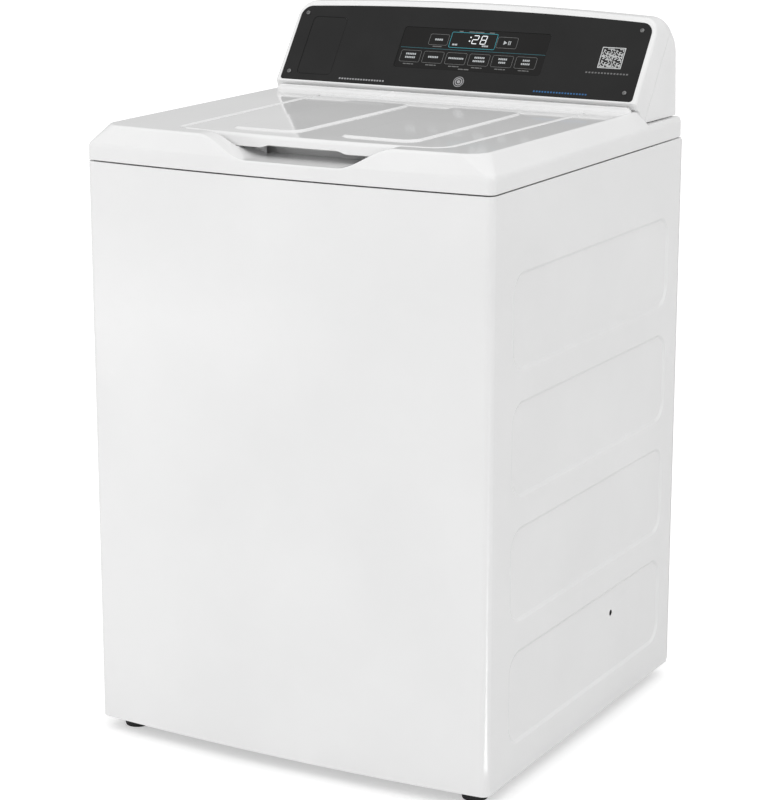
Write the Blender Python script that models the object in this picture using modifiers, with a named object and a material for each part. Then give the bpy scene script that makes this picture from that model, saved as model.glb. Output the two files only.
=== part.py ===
"""Commercial top-load laundry washing machine as an assembly of separate parts.

Metres, +Z up. The origin is on the floor under the middle of the machine, the front faces -Y.
"""
import math

import bmesh
import bpy
from mathutils import Matrix, Vector

# Cabinet
HALF_WIDTH = 0.343
FRONT_Y = -0.335
BACK_Y = 0.3344
FRONT_BOW = 0.0145
FRONT_CORNER_RADIUS = 0.012
BACK_CORNER_RADIUS = 0.003
CABINET_BOTTOM = 0.020
CABINET_TOP = 0.9084
SHEET = 0.0012
SEAM = 0.002
GAP = 0.0003
REAR_SHEET = 0.0015
RECESS_DEPTH = 0.0025
RECESS_FRONT = -0.264
RECESS_BACK = 0.288
RECESS_HEIGHT = 0.1395
RECESS_PITCH = 0.190
RECESS_FIRST_Z = 0.0762
RECESS_COUNT = 4
RECESS_RADIUS = 0.035
RECESS_SLOPE = 0.005
SIDE_HOLE = (0.1008, 0.1752)

# Top cover, lid and handle scoop
DECK_Z = 0.9643
COVER_WALL = 0.003
COVER_BACK = 0.3275
SKIRT_FRONT_Z = 0.9344
SKIRT_BACK_Z = 0.9387
DECK_FRONT_HALF = 0.319
DECK_BACK_HALF = 0.3265
DECK_FRONT_Y = -0.327
DECK_CORNER_RADIUS = 0.040
LEDGE_Z = 0.944
LID_X = 0.0225
LID_FRONT_HALF = 0.2235
LID_BACK_HALF = 0.2375
LID_FRONT_Y = -0.296
LID_BACK_Y = 0.145
LID_BOW = 0.012
LID_RIGHT_RADIUS = 0.035
LID_LEFT_RADIUS = 0.020
# Same on the lid and its recess, so the back corners clear as the lid tips up
LID_BACK_RADIUS = 0.008
LID_GAP = 0.0025
LID_WALL = 0.003
LID_TOP = 0.9640
LID_SKIRT_Z = 0.9500
LID_LIP_Z = 0.9455
PAD_TOP = 0.9665
HINGE_Y = 0.139
HINGE_Z = 0.960
PIN_RADIUS = 0.0025
MOUTH_CENTRE = (0.020, -0.085)
MOUTH_HALF = (0.190, 0.170)
MOUTH_RADIUS = 0.150
MOUTH_RIM_Z = 0.922
SCOOP_FLOOR_Z = 0.932
SCOOP_FLAT_HALF = 0.075
SCOOP_TOP_HALF = 0.165
SCOOP_BACK_Y = -0.272

# Lid lock
LOCK_X = 0.230
LOCK_Y = -0.150
BOLT_Z = 0.931
BOLT_HALF = 0.003

# Console: the fascia plane leans back from its bottom edge
FASCIA_Y = 0.185
FASCIA_Z = 0.9797
FASCIA_LEAN = math.radians(35.16)
FASCIA_HALF = 0.3184
FASCIA_HEIGHT = 0.1391
FASCIA_CROWN = 0.0065
FASCIA_THICKNESS = 0.0025
CONSOLE_HALF = 0.335
CONSOLE_EDGE = 0.018
CONSOLE_CROWN = 0.0081
CONSOLE_TOP = 1.110
CONSOLE_BASE = 0.9428
CONSOLE_WALL = 0.0025
CONSOLE_SPLIT = -0.044
SHELF_HALF = 0.3235
SCREW_PLACES = {
    "top_left": (-0.3075, 0.126),
    "bottom_left": (-0.3075, 0.0147),
    "top_right": (0.3023, 0.126),
    "bottom_right": (0.3023, 0.0147),
}
DISPLAY = (-0.116, 0.035, 0.150, 0.1107)
BLANK = (-0.293, 0.0117, -0.228, 0.1205)

# Wash system, turned about a vertical axis
AXIS_Y = -0.0075
TUB_RADIUS = 0.285
TUB_WALL = 0.0035
TUB_TOP = 0.820
TUB_BOTTOM = 0.275
HUB_RADIUS = 0.0355
BASKET_RADIUS = 0.262
BASKET_WALL = 0.0015
BASKET_TOP = 0.785
BASKET_BOTTOM = 0.318
SPIN_TUBE_RADIUS = 0.018
SHAFT_RADIUS = 0.011
RUN = 0.0004
DRIVE_PULLEY_RADIUS = 0.112
MOTOR_PULLEY_RADIUS = 0.020
MOTOR_X = 0.175
BELT = (0.108, 0.122)
BELT_THICKNESS = 0.003
BELT_GAP = 0.0010
PUMP_X = -0.170
ROD_OFFSET = 0.255
ROD_RADIUS = 0.004
EAR = (0.400, 0.425)
ROD_FOOT_Z = 0.201
BRACKET_Z = 0.885
BRACKET_LEG = 0.185
SPRING_TURNS = 6
SPRING_RADIUS = 0.012
SPRING_WIRE = 0.0016

# Feet and base
FOOT_X = 0.303
FOOT_FRONT_Y = -0.295
FOOT_BACK_Y = 0.2944
FOOT_RADIUS = 0.020
STUD_RADIUS = 0.005
BASE_Z = 0.0215
BASE_SHEET = 0.003

# Rear connections
INLETS = (0.150, 0.200)
INLET_Z = 0.840
INLET_RADIUS = 0.0132
INLET_REACH = 0.3495
DRAIN_X = -0.200
CORD_X = -0.270
PORT_Z = 0.800

ARC_STEPS = 4
ROUND_STEPS = 32
SMALL_STEPS = 16

WHITE = (0.86, 0.87, 0.88)
PAINT = dict(colour=WHITE, roughness=0.18)
WHITE_PLASTIC = dict(colour=(0.85, 0.86, 0.87), roughness=0.25)
GLOSS_BLACK = dict(colour=(0.03, 0.03, 0.032), roughness=0.2)
SCREEN_BLACK = dict(colour=(0.015, 0.015, 0.016), roughness=0.12)
GREY_PLASTIC = dict(colour=(0.45, 0.47, 0.50), roughness=0.5)
RUBBER = dict(colour=(0.02, 0.02, 0.02), roughness=0.8)
STEEL = dict(colour=(0.62, 0.63, 0.64), roughness=0.3, metallic=1.0)
ZINC = dict(colour=(0.55, 0.56, 0.57), roughness=0.45, metallic=1.0)
CAST = dict(colour=(0.50, 0.51, 0.53), roughness=0.55, metallic=1.0)
BOARD = dict(colour=(0.03, 0.22, 0.10), roughness=0.5)


# Scene, objects and materials

def clear_scene():
    for obj in list(bpy.data.objects):
        bpy.data.objects.remove(obj, do_unlink=True)


def make_collection(name):
    collection = bpy.data.collections.new(name)
    bpy.context.scene.collection.children.link(collection)
    return collection


clear_scene()
PARTS = make_collection("top_load_washer")
CUTTERS = make_collection("cutters")
CUTTERS.hide_render = True


def finish_of(name, colour, roughness, metallic=0.0):
    made = bpy.data.materials.new(name)
    made.use_nodes = True
    shader = made.node_tree.nodes["Principled BSDF"]
    shader.inputs["Base Color"].default_value = (*colour, 1.0)
    shader.inputs["Roughness"].default_value = roughness
    shader.inputs["Metallic"].default_value = metallic
    made.diffuse_color = (*colour, 1.0)
    return made


def smooth(mesh):
    mesh.shade_smooth()
    mesh.set_sharp_from_angle(angle=math.radians(35))


def add_part(name, mesh, look, frame=None):
    if mesh.polygons:
        smooth(mesh)
    part = bpy.data.objects.new(name, mesh)
    mesh.materials.append(finish_of(name, **look))
    part.matrix_world = frame or Matrix()
    PARTS.objects.link(part)
    return part


def add_cutter(name, mesh, frame=None):
    cutter = bpy.data.objects.new(name, mesh)
    cutter.matrix_world = frame or Matrix()
    cutter.hide_render = True
    cutter.display_type = "WIRE"
    CUTTERS.objects.link(cutter)
    return cutter


def join(target, other, operation="UNION", solver="EXACT"):
    step = target.modifiers.new(other.name, "BOOLEAN")
    step.operation = operation
    step.object = other
    step.solver = solver


def cut(target, other, solver="EXACT"):
    join(target, other, "DIFFERENCE", solver)


# Frames

def along_y(x, z, y=0.0):
    """Local +Z points along world +Y."""
    return Matrix.Translation((x, y, z)) @ Matrix.Rotation(math.radians(-90), 4, "X")


def along_x(y, z, x=0.0):
    """Local +Z points along world +X."""
    return Matrix.Translation((x, y, z)) @ Matrix.Rotation(math.radians(90), 4, "Y")


def upright(y):
    """Local X is world X, local Y is world Z, local Z points to the front."""
    return Matrix.Translation((0, y, 0)) @ Matrix.Rotation(math.radians(90), 4, "X")


def side_on(x):
    """Local X is world Y, local Y is world Z, local Z is world X."""
    return Matrix(((0, 0, 1, x), (1, 0, 0, 0), (0, 1, 0, 0), (0, 0, 0, 1)))


def fascia_frame(depth=0.0):
    """Local X is world X, local Y runs up the fascia, local Z points out of it."""
    tilt = Matrix.Rotation(math.radians(90) - FASCIA_LEAN, 4, "X")
    return Matrix.Translation((0, FASCIA_Y, FASCIA_Z)) @ tilt @ Matrix.Translation((0, 0, depth))


# Outlines

def fillet(corners, steps=ARC_STEPS):
    """Rounds each (x, y, radius) corner of a closed outline."""
    points = []
    for index, (x, y, radius) in enumerate(corners):
        here = Vector((x, y))
        if radius == 0:
            points.append((x, y))
            continue
        before = (Vector(corners[index - 1][:2]) - here).normalized()
        after = (Vector(corners[(index + 1) % len(corners)][:2]) - here).normalized()
        half = before.angle(after) / 2
        centre = here + (before + after).normalized() * radius / math.sin(half)
        start = here + before * radius / math.tan(half) - centre
        end = here + after * radius / math.tan(half) - centre
        turn = start.angle_signed(end)
        for step in range(steps + 1):
            arm = Matrix.Rotation(-turn * step / steps, 2) @ start
            points.append(tuple(centre + arm))
    return points


def rectangle(x0, y0, x1, y1, radius=0.0, steps=ARC_STEPS):
    return fillet([(x0, y0, radius), (x1, y0, radius), (x1, y1, radius), (x0, y1, radius)], steps)


def circle(x, y, radius, steps=SMALL_STEPS):
    turns = [2 * math.pi * step / steps for step in range(steps)]
    return [(x + radius * math.cos(turn), y + radius * math.sin(turn)) for turn in turns]


def bowed(front_half, back_half, front, back, bow, radii, centre=0.0):
    """A four-sided outline whose front edge bulges by bow.

    radii are those of the front right, back right, back left and front left corners.
    """
    edge = []
    for share in (-0.75, -0.5, -0.25, 0.0, 0.25, 0.5, 0.75):
        edge.append((centre + share * front_half, front - bow * (1 - share * share), 0))
    corners = edge + [
        (centre + front_half, front, radii[0]),
        (centre + back_half, back, radii[1]),
        (centre - back_half, back, radii[2]),
        (centre - front_half, front, radii[3]),
    ]
    return fillet(corners)


def cabinet_outline(inset=0.0, back=BACK_Y):
    radii = [max(FRONT_CORNER_RADIUS - inset, 0.002)] * 4
    radii[1] = radii[2] = BACK_CORNER_RADIUS
    half = HALF_WIDTH - inset
    return bowed(half, half, FRONT_Y + inset, back - inset, FRONT_BOW, radii)


def deck_outline(inset=0.0, back=0.290):
    radii = [DECK_CORNER_RADIUS - inset] * 4
    radii[1] = radii[2] = 0.020
    return bowed(
        DECK_FRONT_HALF - inset, DECK_BACK_HALF - inset, DECK_FRONT_Y + inset, back - inset, FRONT_BOW, radii
    )


def lid_outline(grow=0.0, back=LID_BACK_Y):
    radii = (LID_RIGHT_RADIUS + grow, LID_BACK_RADIUS, LID_BACK_RADIUS, LID_LEFT_RADIUS + grow)
    return bowed(
        LID_FRONT_HALF + grow, LID_BACK_HALF + grow, LID_FRONT_Y - grow, back + grow, LID_BOW, radii, LID_X
    )


def mouth_outline(grow=0.0):
    x, y = MOUTH_CENTRE
    half_x, half_y = MOUTH_HALF
    radius = MOUTH_RADIUS + grow
    return rectangle(x - half_x - grow, y - half_y - grow, x + half_x + grow, y + half_y + grow, radius, 10)


def inset_outline(points, distance):
    """Moves each side of a closed outline inwards. The outline runs anticlockwise."""
    moved = []
    count = len(points)
    for index in range(count):
        here = Vector(points[index])
        before = (here - Vector(points[index - 1])).normalized()
        after = (Vector(points[(index + 1) % count]) - here).normalized()
        left_before = Vector((-before.y, before.x))
        left_after = Vector((-after.y, after.x))
        mitre = left_before + left_after
        moved.append(tuple(here + mitre * distance / (1 + left_before.dot(left_after))))
    return moved


# Shape makers

def plate_mesh(name, outlines, thickness):
    """Fills flat outlines, later ones as holes, and extrudes them upwards from local Z = 0."""
    flat = bpy.data.curves.new(name, "CURVE")
    flat.dimensions = "2D"
    flat.fill_mode = "BOTH"
    flat.extrude = thickness / 2
    for outline in outlines:
        spline = flat.splines.new("POLY")
        spline.points.add(len(outline) - 1)
        for point, (x, y) in zip(spline.points, outline):
            point.co = (x, y, 0, 1)
        spline.use_cyclic_u = True
    return welded_mesh(name, flat, Vector((0, 0, thickness / 2)))


def welded_mesh(name, curve, shift):
    holder = bpy.data.objects.new(name, curve)
    CUTTERS.objects.link(holder)
    graph = bpy.context.evaluated_depsgraph_get()
    mesh = bpy.data.meshes.new_from_object(holder.evaluated_get(graph))
    mesh.name = name
    bpy.data.objects.remove(holder)
    bpy.data.curves.remove(curve)
    shape = bmesh.new()
    shape.from_mesh(mesh)
    bmesh.ops.remove_doubles(shape, verts=shape.verts, dist=1e-6)
    bmesh.ops.translate(shape, verts=shape.verts, vec=shift)
    bmesh.ops.recalc_face_normals(shape, faces=shape.faces)
    shape.to_mesh(mesh)
    shape.free()
    return mesh


def box_mesh(name, low, high):
    shape = bmesh.new()
    size = Vector(high) - Vector(low)
    middle = (Vector(high) + Vector(low)) / 2
    place = Matrix.Translation(middle) @ Matrix.Diagonal((*size, 1))
    bmesh.ops.create_cube(shape, size=1, matrix=place)
    mesh = bpy.data.meshes.new(name)
    shape.to_mesh(mesh)
    shape.free()
    return mesh


def rod_mesh(name, radius, low, high, steps=SMALL_STEPS):
    """A cylinder along local Z from low to high."""
    shape = bmesh.new()
    place = Matrix.Translation((0, 0, (low + high) / 2))
    bmesh.ops.create_cone(
        shape, cap_ends=True, segments=steps, radius1=radius, radius2=radius, depth=high - low, matrix=place
    )
    mesh = bpy.data.meshes.new(name)
    shape.to_mesh(mesh)
    shape.free()
    return mesh


def profile_mesh(name, points, closed):
    mesh = bpy.data.meshes.new(name)
    edges = [(index, index + 1) for index in range(len(points) - 1)]
    if closed:
        edges.append((len(points) - 1, 0))
    mesh.from_pydata([(radius, 0, height) for radius, height in points], edges, [])
    return mesh


def spin(part, steps):
    turn = part.modifiers.new("turned", "SCREW")
    turn.angle = 2 * math.pi
    turn.steps = steps
    turn.render_steps = steps
    turn.use_merge_vertices = True
    turn.merge_threshold = 0.00001
    turn.use_smooth_shade = True


def turned(name, points, look, frame=None, steps=ROUND_STEPS, closed=True):
    """A turned part. points are (radius, height), down the outer side first."""
    part = add_part(name, profile_mesh(name, points, closed), look, frame)
    spin(part, steps)
    return part


def loft_mesh(name, rings):
    """Closed skin through rings of equal point count, capped at both ends."""
    shape = bmesh.new()
    rows = []
    for ring in rings:
        rows.append([shape.verts.new(point) for point in ring])
    count = len(rows[0])
    for lower, upper in zip(rows, rows[1:]):
        for index in range(count):
            after = (index + 1) % count
            shape.faces.new((lower[index], lower[after], upper[after], upper[index]))
    shape.faces.new(list(reversed(rows[0])))
    shape.faces.new(rows[-1])
    bmesh.ops.recalc_face_normals(shape, faces=shape.faces)
    mesh = bpy.data.meshes.new(name)
    shape.to_mesh(mesh)
    shape.free()
    return mesh


def tube_mesh(name, points, radius, resolution=2):
    line = bpy.data.curves.new(name, "CURVE")
    line.dimensions = "3D"
    line.bevel_depth = radius
    line.bevel_resolution = resolution
    line.use_fill_caps = True
    spline = line.splines.new("POLY")
    spline.points.add(len(points) - 1)
    for point, place in zip(spline.points, points):
        point.co = (*place, 1)
    return welded_mesh(name, line, Vector((0, 0, 0)))


# Casing

def recess_rings(side, deep, shallow, deep_inset, shallow_inset, low_z):
    """Two rounded rectangles on a side wall, one deeper and smaller than the other."""
    rings = []
    for depth, inset in ((deep, deep_inset), (shallow, shallow_inset)):
        outline = rectangle(
            RECESS_FRONT + inset, low_z + inset, RECESS_BACK - inset, low_z + RECESS_HEIGHT - inset,
            RECESS_RADIUS - inset,
        )
        rings.append([(side * (HALF_WIDTH - depth), y, z) for y, z in outline])
    return rings


def build_cabinet():
    height = CABINET_TOP - CABINET_BOTTOM
    place = Matrix.Translation((0, 0, CABINET_BOTTOM))
    back = BACK_Y - REAR_SHEET - GAP
    walls = [cabinet_outline(back=back), cabinet_outline(SHEET, back=back)]
    cabinet = add_part("cabinet", plate_mesh("cabinet", walls, height), PAINT, place)
    window = box_mesh("rear_window", (-0.300, back - 0.010, 0.060), (0.300, back + 0.010, 0.870))
    cut(cabinet, add_cutter("rear_window", window))
    for side in (-1, 1):
        for index in range(RECESS_COUNT):
            low_z = RECESS_FIRST_Z + index * RECESS_PITCH
            tray = recess_rings(side, RECESS_DEPTH + SHEET, SHEET / 2, RECESS_SLOPE - 0.001, -0.0005, low_z)
            hollow = recess_rings(side, RECESS_DEPTH, -0.002, RECESS_SLOPE, -0.004, low_z)
            label = f"{'left' if side < 0 else 'right'}_{index}"
            join(cabinet, add_cutter("tray_" + label, loft_mesh("tray_" + label, tray)))
            cut(cabinet, add_cutter("recess_" + label, loft_mesh("recess_" + label, hollow)))
    hole = rod_mesh("side_hole", 0.005, 0.300, 0.360, 16)
    cut(cabinet, add_cutter("side_hole", hole, along_x(*SIDE_HOLE)))


def build_rear_panel():
    vents = []
    for index in range(4):
        low_z = 0.110 + index * 0.016
        vents.append(rectangle(-0.080, low_z, 0.080, low_z + 0.006, 0.0029, 3))
    ports = [circle(x, INLET_Z, INLET_RADIUS + 0.002) for x in INLETS]
    ports.append(circle(DRAIN_X, PORT_Z, 0.016))
    ports.append(circle(CORD_X, PORT_Z, 0.0125))
    outline = rectangle(-0.3425, 0.022, 0.3425, CABINET_TOP - 0.001, 0.004, 3)
    mesh = plate_mesh("rear_panel", [outline, *ports, *vents], REAR_SHEET)
    add_part("rear_panel", mesh, PAINT, upright(BACK_Y))


def foot_places():
    for row, y in (("front", FOOT_FRONT_Y), ("back", FOOT_BACK_Y)):
        for side, x in (("left", -FOOT_X), ("right", FOOT_X)):
            yield f"{row}_{side}", x, y


def build_base_frame():
    inset = SHEET + 0.0006
    back = BACK_Y - REAR_SHEET - GAP
    outer = cabinet_outline(inset, back)
    inner = rectangle(-0.265, -0.255, 0.265, 0.255, 0.060)
    holes = [circle(x, y, STUD_RADIUS + 0.0015) for _, x, y in foot_places()]
    floor = plate_mesh("base_frame", [outer, inner, *holes], BASE_SHEET)
    base = add_part("base_frame", floor, ZINC, Matrix.Translation((0, 0, BASE_Z)))
    rim = plate_mesh("base_rim", [outer, cabinet_outline(inset + 0.0025, back)], 0.036)
    join(base, add_cutter("base_rim", rim, Matrix.Translation((0, 0, BASE_Z + 0.0005))))
    lip = [
        rectangle(-0.2675, -0.2575, 0.2675, 0.2575, 0.0625),
        rectangle(-0.2648, -0.2548, 0.2648, 0.2548, 0.0598),
    ]
    lip_place = Matrix.Translation((0, 0, BASE_Z + 0.001))
    join(base, add_cutter("base_lip", plate_mesh("base_lip", lip, 0.020), lip_place))


def build_feet():
    profile = [
        (0, 0.078), (STUD_RADIUS, 0.076), (STUD_RADIUS, 0.018), (0.0095, 0.018), (0.0095, 0.013),
        (0.017, 0.012), (FOOT_RADIUS, 0.006), (FOOT_RADIUS, 0.001), (FOOT_RADIUS - 0.001, 0.0), (0, 0.0),
    ]
    for label, x, y in foot_places():
        turned("foot_" + label, profile, RUBBER, Matrix.Translation((x, y, 0)), SMALL_STEPS, closed=False)


def corner_places():
    for row, sign_y in (("front", -1), ("back", 1)):
        for side, sign_x in (("left", -1), ("right", 1)):
            yield f"{row}_{side}", sign_x, sign_y


def build_corner_brackets():
    wall_y = {-1: FRONT_Y + SHEET, 1: BACK_Y - REAR_SHEET - GAP - SHEET}
    for label, sign_x, sign_y in corner_places():
        corner_x = sign_x * (HALF_WIDTH - SHEET - 0.0006)
        corner_y = wall_y[sign_y] - sign_y * 0.0006
        rod = (sign_x * ROD_OFFSET, AXIS_Y + sign_y * ROD_OFFSET)
        outline = [
            (corner_x, corner_y, 0.020),
            (corner_x, corner_y - sign_y * BRACKET_LEG, 0.006),
            (corner_x - sign_x * BRACKET_LEG, corner_y, 0.006),
        ]
        shape = [fillet(outline), circle(*rod, ROD_RADIUS + 0.0015, 16)]
        name = "corner_bracket_" + label
        bracket = add_part(name, plate_mesh(name, shape, 0.003), ZINC, Matrix.Translation((0, 0, BRACKET_Z)))
        far = corner_y - sign_y * 0.150
        near = corner_y - sign_y * 0.030
        flange_x = sorted((corner_x, corner_x - sign_x * 0.003))
        flange_y = sorted((far, near))
        low = (flange_x[0], flange_y[0], BRACKET_Z - 0.022)
        high = (flange_x[1], flange_y[1], BRACKET_Z + 0.001)
        join(bracket, add_cutter(name + "_flange", box_mesh(name + "_flange", low, high)))


# Top cover and lid

def skirt_height(y):
    share = (y - FRONT_Y) / (BACK_Y - FRONT_Y)
    return SKIRT_FRONT_Z + share * (SKIRT_BACK_Z - SKIRT_FRONT_Z)


def cover_rings(inset, low_z, drop):
    """Skirt bottom, skirt top and deck edge of the top cover."""
    bottom = [(x, y, low_z) for x, y in cabinet_outline(inset, COVER_BACK)]
    middle = [(x, y, skirt_height(y) - drop) for x, y in cabinet_outline(inset, COVER_BACK - 0.004)]
    top = [(x, y, DECK_Z - drop) for x, y in deck_outline(inset)]
    return [bottom, middle, top]


def scoop_outline(grow=0.0):
    """Front view of the handle scoop, as a closed outline in X and Z."""
    points = []
    rise = DECK_Z - SCOOP_FLOOR_Z
    steps = 8
    for sign in (-1, 1):
        arm = []
        for step in range(steps + 1):
            share = step / steps
            x = SCOOP_FLAT_HALF + share * (SCOOP_TOP_HALF - SCOOP_FLAT_HALF) + grow
            z = SCOOP_FLOOR_Z - grow + (rise + 0.0005) * (1 - math.cos(math.pi * share)) / 2
            arm.append((LID_X + sign * x, z))
        points += arm[::-1] if sign < 0 else arm
    top = DECK_Z + 0.030
    return points + [(LID_X + SCOOP_TOP_HALF + grow, top), (LID_X - SCOOP_TOP_HALF - grow, top)]


def build_top_cover():
    low_z = CABINET_TOP + SEAM
    cover = add_part("top_cover", loft_mesh("top_cover", cover_rings(0.0, low_z, 0.0)), PAINT)
    cavity = add_cutter("cover_cavity", loft_mesh("cover_cavity", cover_rings(COVER_WALL, 0.900, COVER_WALL)))
    pan_length = 0.360 + SCOOP_BACK_Y + 0.003
    pan = plate_mesh("scoop_pan", [scoop_outline(0.003)], pan_length)
    cut(cavity, add_cutter("scoop_pan", pan, upright(SCOOP_BACK_Y + 0.003)))
    cut(cover, cavity)

    console_cut = [
        (0.1897, DECK_Z + 0.02), (0.1897, DECK_Z + 0.0002), (0.2058, CONSOLE_BASE - GAP),
        (0.360, CONSOLE_BASE - GAP), (0.360, DECK_Z + 0.02),
    ]
    clearance = plate_mesh("console_clearance", [console_cut], 0.8)
    cut(cover, add_cutter("console_clearance", clearance, side_on(-0.4)))
    shelf = [
        (0.1850, DECK_Z - 0.0015), (0.1850, DECK_Z - 0.0055), (0.2020, CONSOLE_BASE - 0.0035),
        (0.3140, CONSOLE_BASE - 0.0035), (0.3140, CONSOLE_BASE - GAP), (0.2058, CONSOLE_BASE - GAP),
        (0.1902, DECK_Z - 0.0010),
    ]
    shelf_mesh = plate_mesh("console_shelf", [shelf], 2 * SHELF_HALF)
    join(cover, add_cutter("console_shelf", shelf_mesh, side_on(-SHELF_HALF)))
    for label, sign in (("left", -1), ("right", 1)):
        reach = sorted((sign * (SHELF_HALF - 0.002), sign * (SHELF_HALF + 0.015)))
        low = (reach[0], 0.2030, CONSOLE_BASE - 0.0032)
        high = (reach[1], 0.3130, CONSOLE_BASE - 0.0006)
        join(cover, add_cutter("shelf_end_" + label, box_mesh("shelf_end_" + label, low, high)))

    rim = [cabinet_outline(0.0018, COVER_BACK), cabinet_outline(0.0045, COVER_BACK)]
    rim_mesh = plate_mesh("locating_rim", rim, 0.017)
    join(cover, add_cutter("locating_rim", rim_mesh, Matrix.Translation((0, 0, 0.898))))

    well = plate_mesh("lid_well", [lid_outline(LID_GAP + COVER_WALL)], DECK_Z - 0.0013 - (LEDGE_Z - COVER_WALL))
    join(cover, add_cutter("lid_well", well, Matrix.Translation((0, 0, LEDGE_Z - COVER_WALL))))
    mouth_wall = plate_mesh("mouth_wall", [mouth_outline(COVER_WALL)], LEDGE_Z - 0.001 - MOUTH_RIM_Z)
    join(cover, add_cutter("mouth_wall", mouth_wall, Matrix.Translation((0, 0, MOUTH_RIM_Z))))
    recess = plate_mesh("lid_recess", [lid_outline(LID_GAP)], 0.040)
    cut(cover, add_cutter("lid_recess", recess, Matrix.Translation((0, 0, LEDGE_Z))))
    mouth = plate_mesh("mouth", [mouth_outline()], 0.060)
    cut(cover, add_cutter("mouth", mouth, Matrix.Translation((0, 0, 0.910))))
    scoop_length = 0.370 + SCOOP_BACK_Y
    scoop = plate_mesh("scoop", [scoop_outline()], scoop_length)
    cut(cover, add_cutter("scoop", scoop, upright(SCOOP_BACK_Y)))

    pin_hole = rod_mesh("pin_hole", PIN_RADIUS + GAP, -0.232, 0.277, 16)
    cut(cover, add_cutter("pin_hole", pin_hole, along_x(HINGE_Y, HINGE_Z)))
    low = (LOCK_X - 0.008, LOCK_Y - 0.012, 0.935)
    high = (LOCK_X + 0.008, LOCK_Y + 0.012, 0.950)
    cut(cover, add_cutter("strike_slot", box_mesh("strike_slot", low, high)))


def notch_outline():
    """Front view of the shallow notch in the lower edge of the lid's front lip."""
    low = LID_LIP_Z - 0.010
    high = LID_LIP_Z + 0.006
    return [(-0.052, low), (0.092, low), (0.092, LID_LIP_Z - 0.001), (0.079, high), (-0.039, high),
            (-0.052, LID_LIP_Z - 0.001)]


def build_lid(axis):
    body = plate_mesh("lid_panel", [lid_outline()], LID_TOP - LID_LIP_Z)
    lid = add_part("lid_panel", body, PAINT, Matrix.Translation((0, 0, LID_LIP_Z)))
    pocket = plate_mesh("lid_pocket", [lid_outline(-LID_WALL)], LID_TOP - 0.003 - 0.930)
    cut(lid, add_cutter("lid_pocket", pocket, Matrix.Translation((0, 0, 0.930))), solver="MANIFOLD")
    for label, x0, x1 in (("left", -0.130, -0.015), ("right", 0.055, 0.182)):
        lower = fillet([(x0, -0.265, 0.012), (x1, -0.265, 0.026), (x1, 0.086, 0.012), (x0, 0.086, 0.012)])
        upper = fillet([(x0 + 0.003, -0.262, 0.010), (x1 - 0.003, -0.262, 0.023),
                        (x1 - 0.003, 0.083, 0.010), (x0 + 0.003, 0.083, 0.010)])
        rings = [[(x, y, LID_TOP - 0.0012) for x, y in lower], [(x, y, PAD_TOP) for x, y in upper]]
        join(lid, add_cutter("pad_" + label, loft_mesh("pad_" + label, rings)), solver="MANIFOLD")
    behind_lip = box_mesh("behind_lip", (-0.5, -0.272, 0.930), (0.5, 0.300, LID_SKIRT_Z))
    cut(lid, add_cutter("behind_lip", behind_lip), solver="MANIFOLD")
    notch = plate_mesh("lip_notch", [notch_outline()], 0.060)
    cut(lid, add_cutter("lip_notch", notch, upright(-0.270)), solver="MANIFOLD")
    bore = rod_mesh("lid_bore", PIN_RADIUS + GAP, -0.240, 0.285, 16)
    cut(lid, add_cutter("lid_bore", bore, along_x(HINGE_Y, HINGE_Z)), solver="MANIFOLD")

    liner = plate_mesh("lid_liner", [lid_outline(-LID_WALL - 0.0015, 0.125)], 0.0047)
    liner_part = add_part("lid_liner", liner, WHITE_PLASTIC, Matrix.Translation((0, 0, 0.956)))
    dish = plate_mesh("liner_dish", [mouth_outline(-0.020)], 0.010)
    cut(liner_part, add_cutter("liner_dish", dish, Matrix.Translation((0, 0, 0.9485))))

    pins = []
    half = LID_BACK_HALF
    for label, sign in (("left", -1), ("right", 1)):
        edge = LID_X + sign * (half - 0.0002)
        ends = sorted((edge - sign * 0.011, edge + sign * 0.012))
        name = "lid_hinge_pin_" + label
        pin = rod_mesh(name, PIN_RADIUS, ends[0], ends[1], 16)
        pins.append(add_part(name, pin, STEEL, along_x(HINGE_Y, HINGE_Z)))

    low = (LOCK_X - 0.010, LOCK_Y - 0.011, 0.9530)
    high = (LOCK_X + 0.010, LOCK_Y + 0.011, 0.956 - GAP)
    strike = add_part("lid_strike", box_mesh("lid_strike", low, high), GREY_PLASTIC)
    tongue = box_mesh("tongue", (LOCK_X - 0.003, LOCK_Y - 0.007, 0.9205), (LOCK_X + 0.003, LOCK_Y + 0.007, 0.954))
    join(strike, add_cutter("tongue", tongue))
    low = (LOCK_X - 0.010, LOCK_Y - 0.0045, 0.9262)
    high = (LOCK_X + 0.010, LOCK_Y + 0.0045, 0.9358)
    cut(strike, add_cutter("tongue_window", box_mesh("tongue_window", low, high)))
    for piece in (lid, liner_part, strike, *pins):
        hang_on(piece, axis)


def build_lid_lock(axis):
    low = (LOCK_X - 0.0145, LOCK_Y - 0.025, 0.912)
    high = (LOCK_X + 0.032, LOCK_Y + 0.025, LEDGE_Z - COVER_WALL - GAP)
    housing = add_part("lid_lock_housing", box_mesh("lid_lock_housing", low, high), GREY_PLASTIC)
    low = (LOCK_X - 0.006, LOCK_Y - 0.010, 0.9175)
    high = (LOCK_X + 0.006, LOCK_Y + 0.010, 0.950)
    cut(housing, add_cutter("lock_throat", box_mesh("lock_throat", low, high)))
    reach = BOLT_HALF + GAP
    low = (LOCK_X - 0.011, LOCK_Y - reach, BOLT_Z - reach)
    high = (LOCK_X + 0.040, LOCK_Y + reach, BOLT_Z + reach)
    cut(housing, add_cutter("bolt_channel", box_mesh("bolt_channel", low, high)))
    low = (LOCK_X + 0.0065, LOCK_Y - BOLT_HALF, BOLT_Z - BOLT_HALF)
    high = (LOCK_X + 0.0265, LOCK_Y + BOLT_HALF, BOLT_Z + BOLT_HALF)
    hang_on(add_part("lock_bolt", box_mesh("lock_bolt", low, high), STEEL), axis)


# Console

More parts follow.
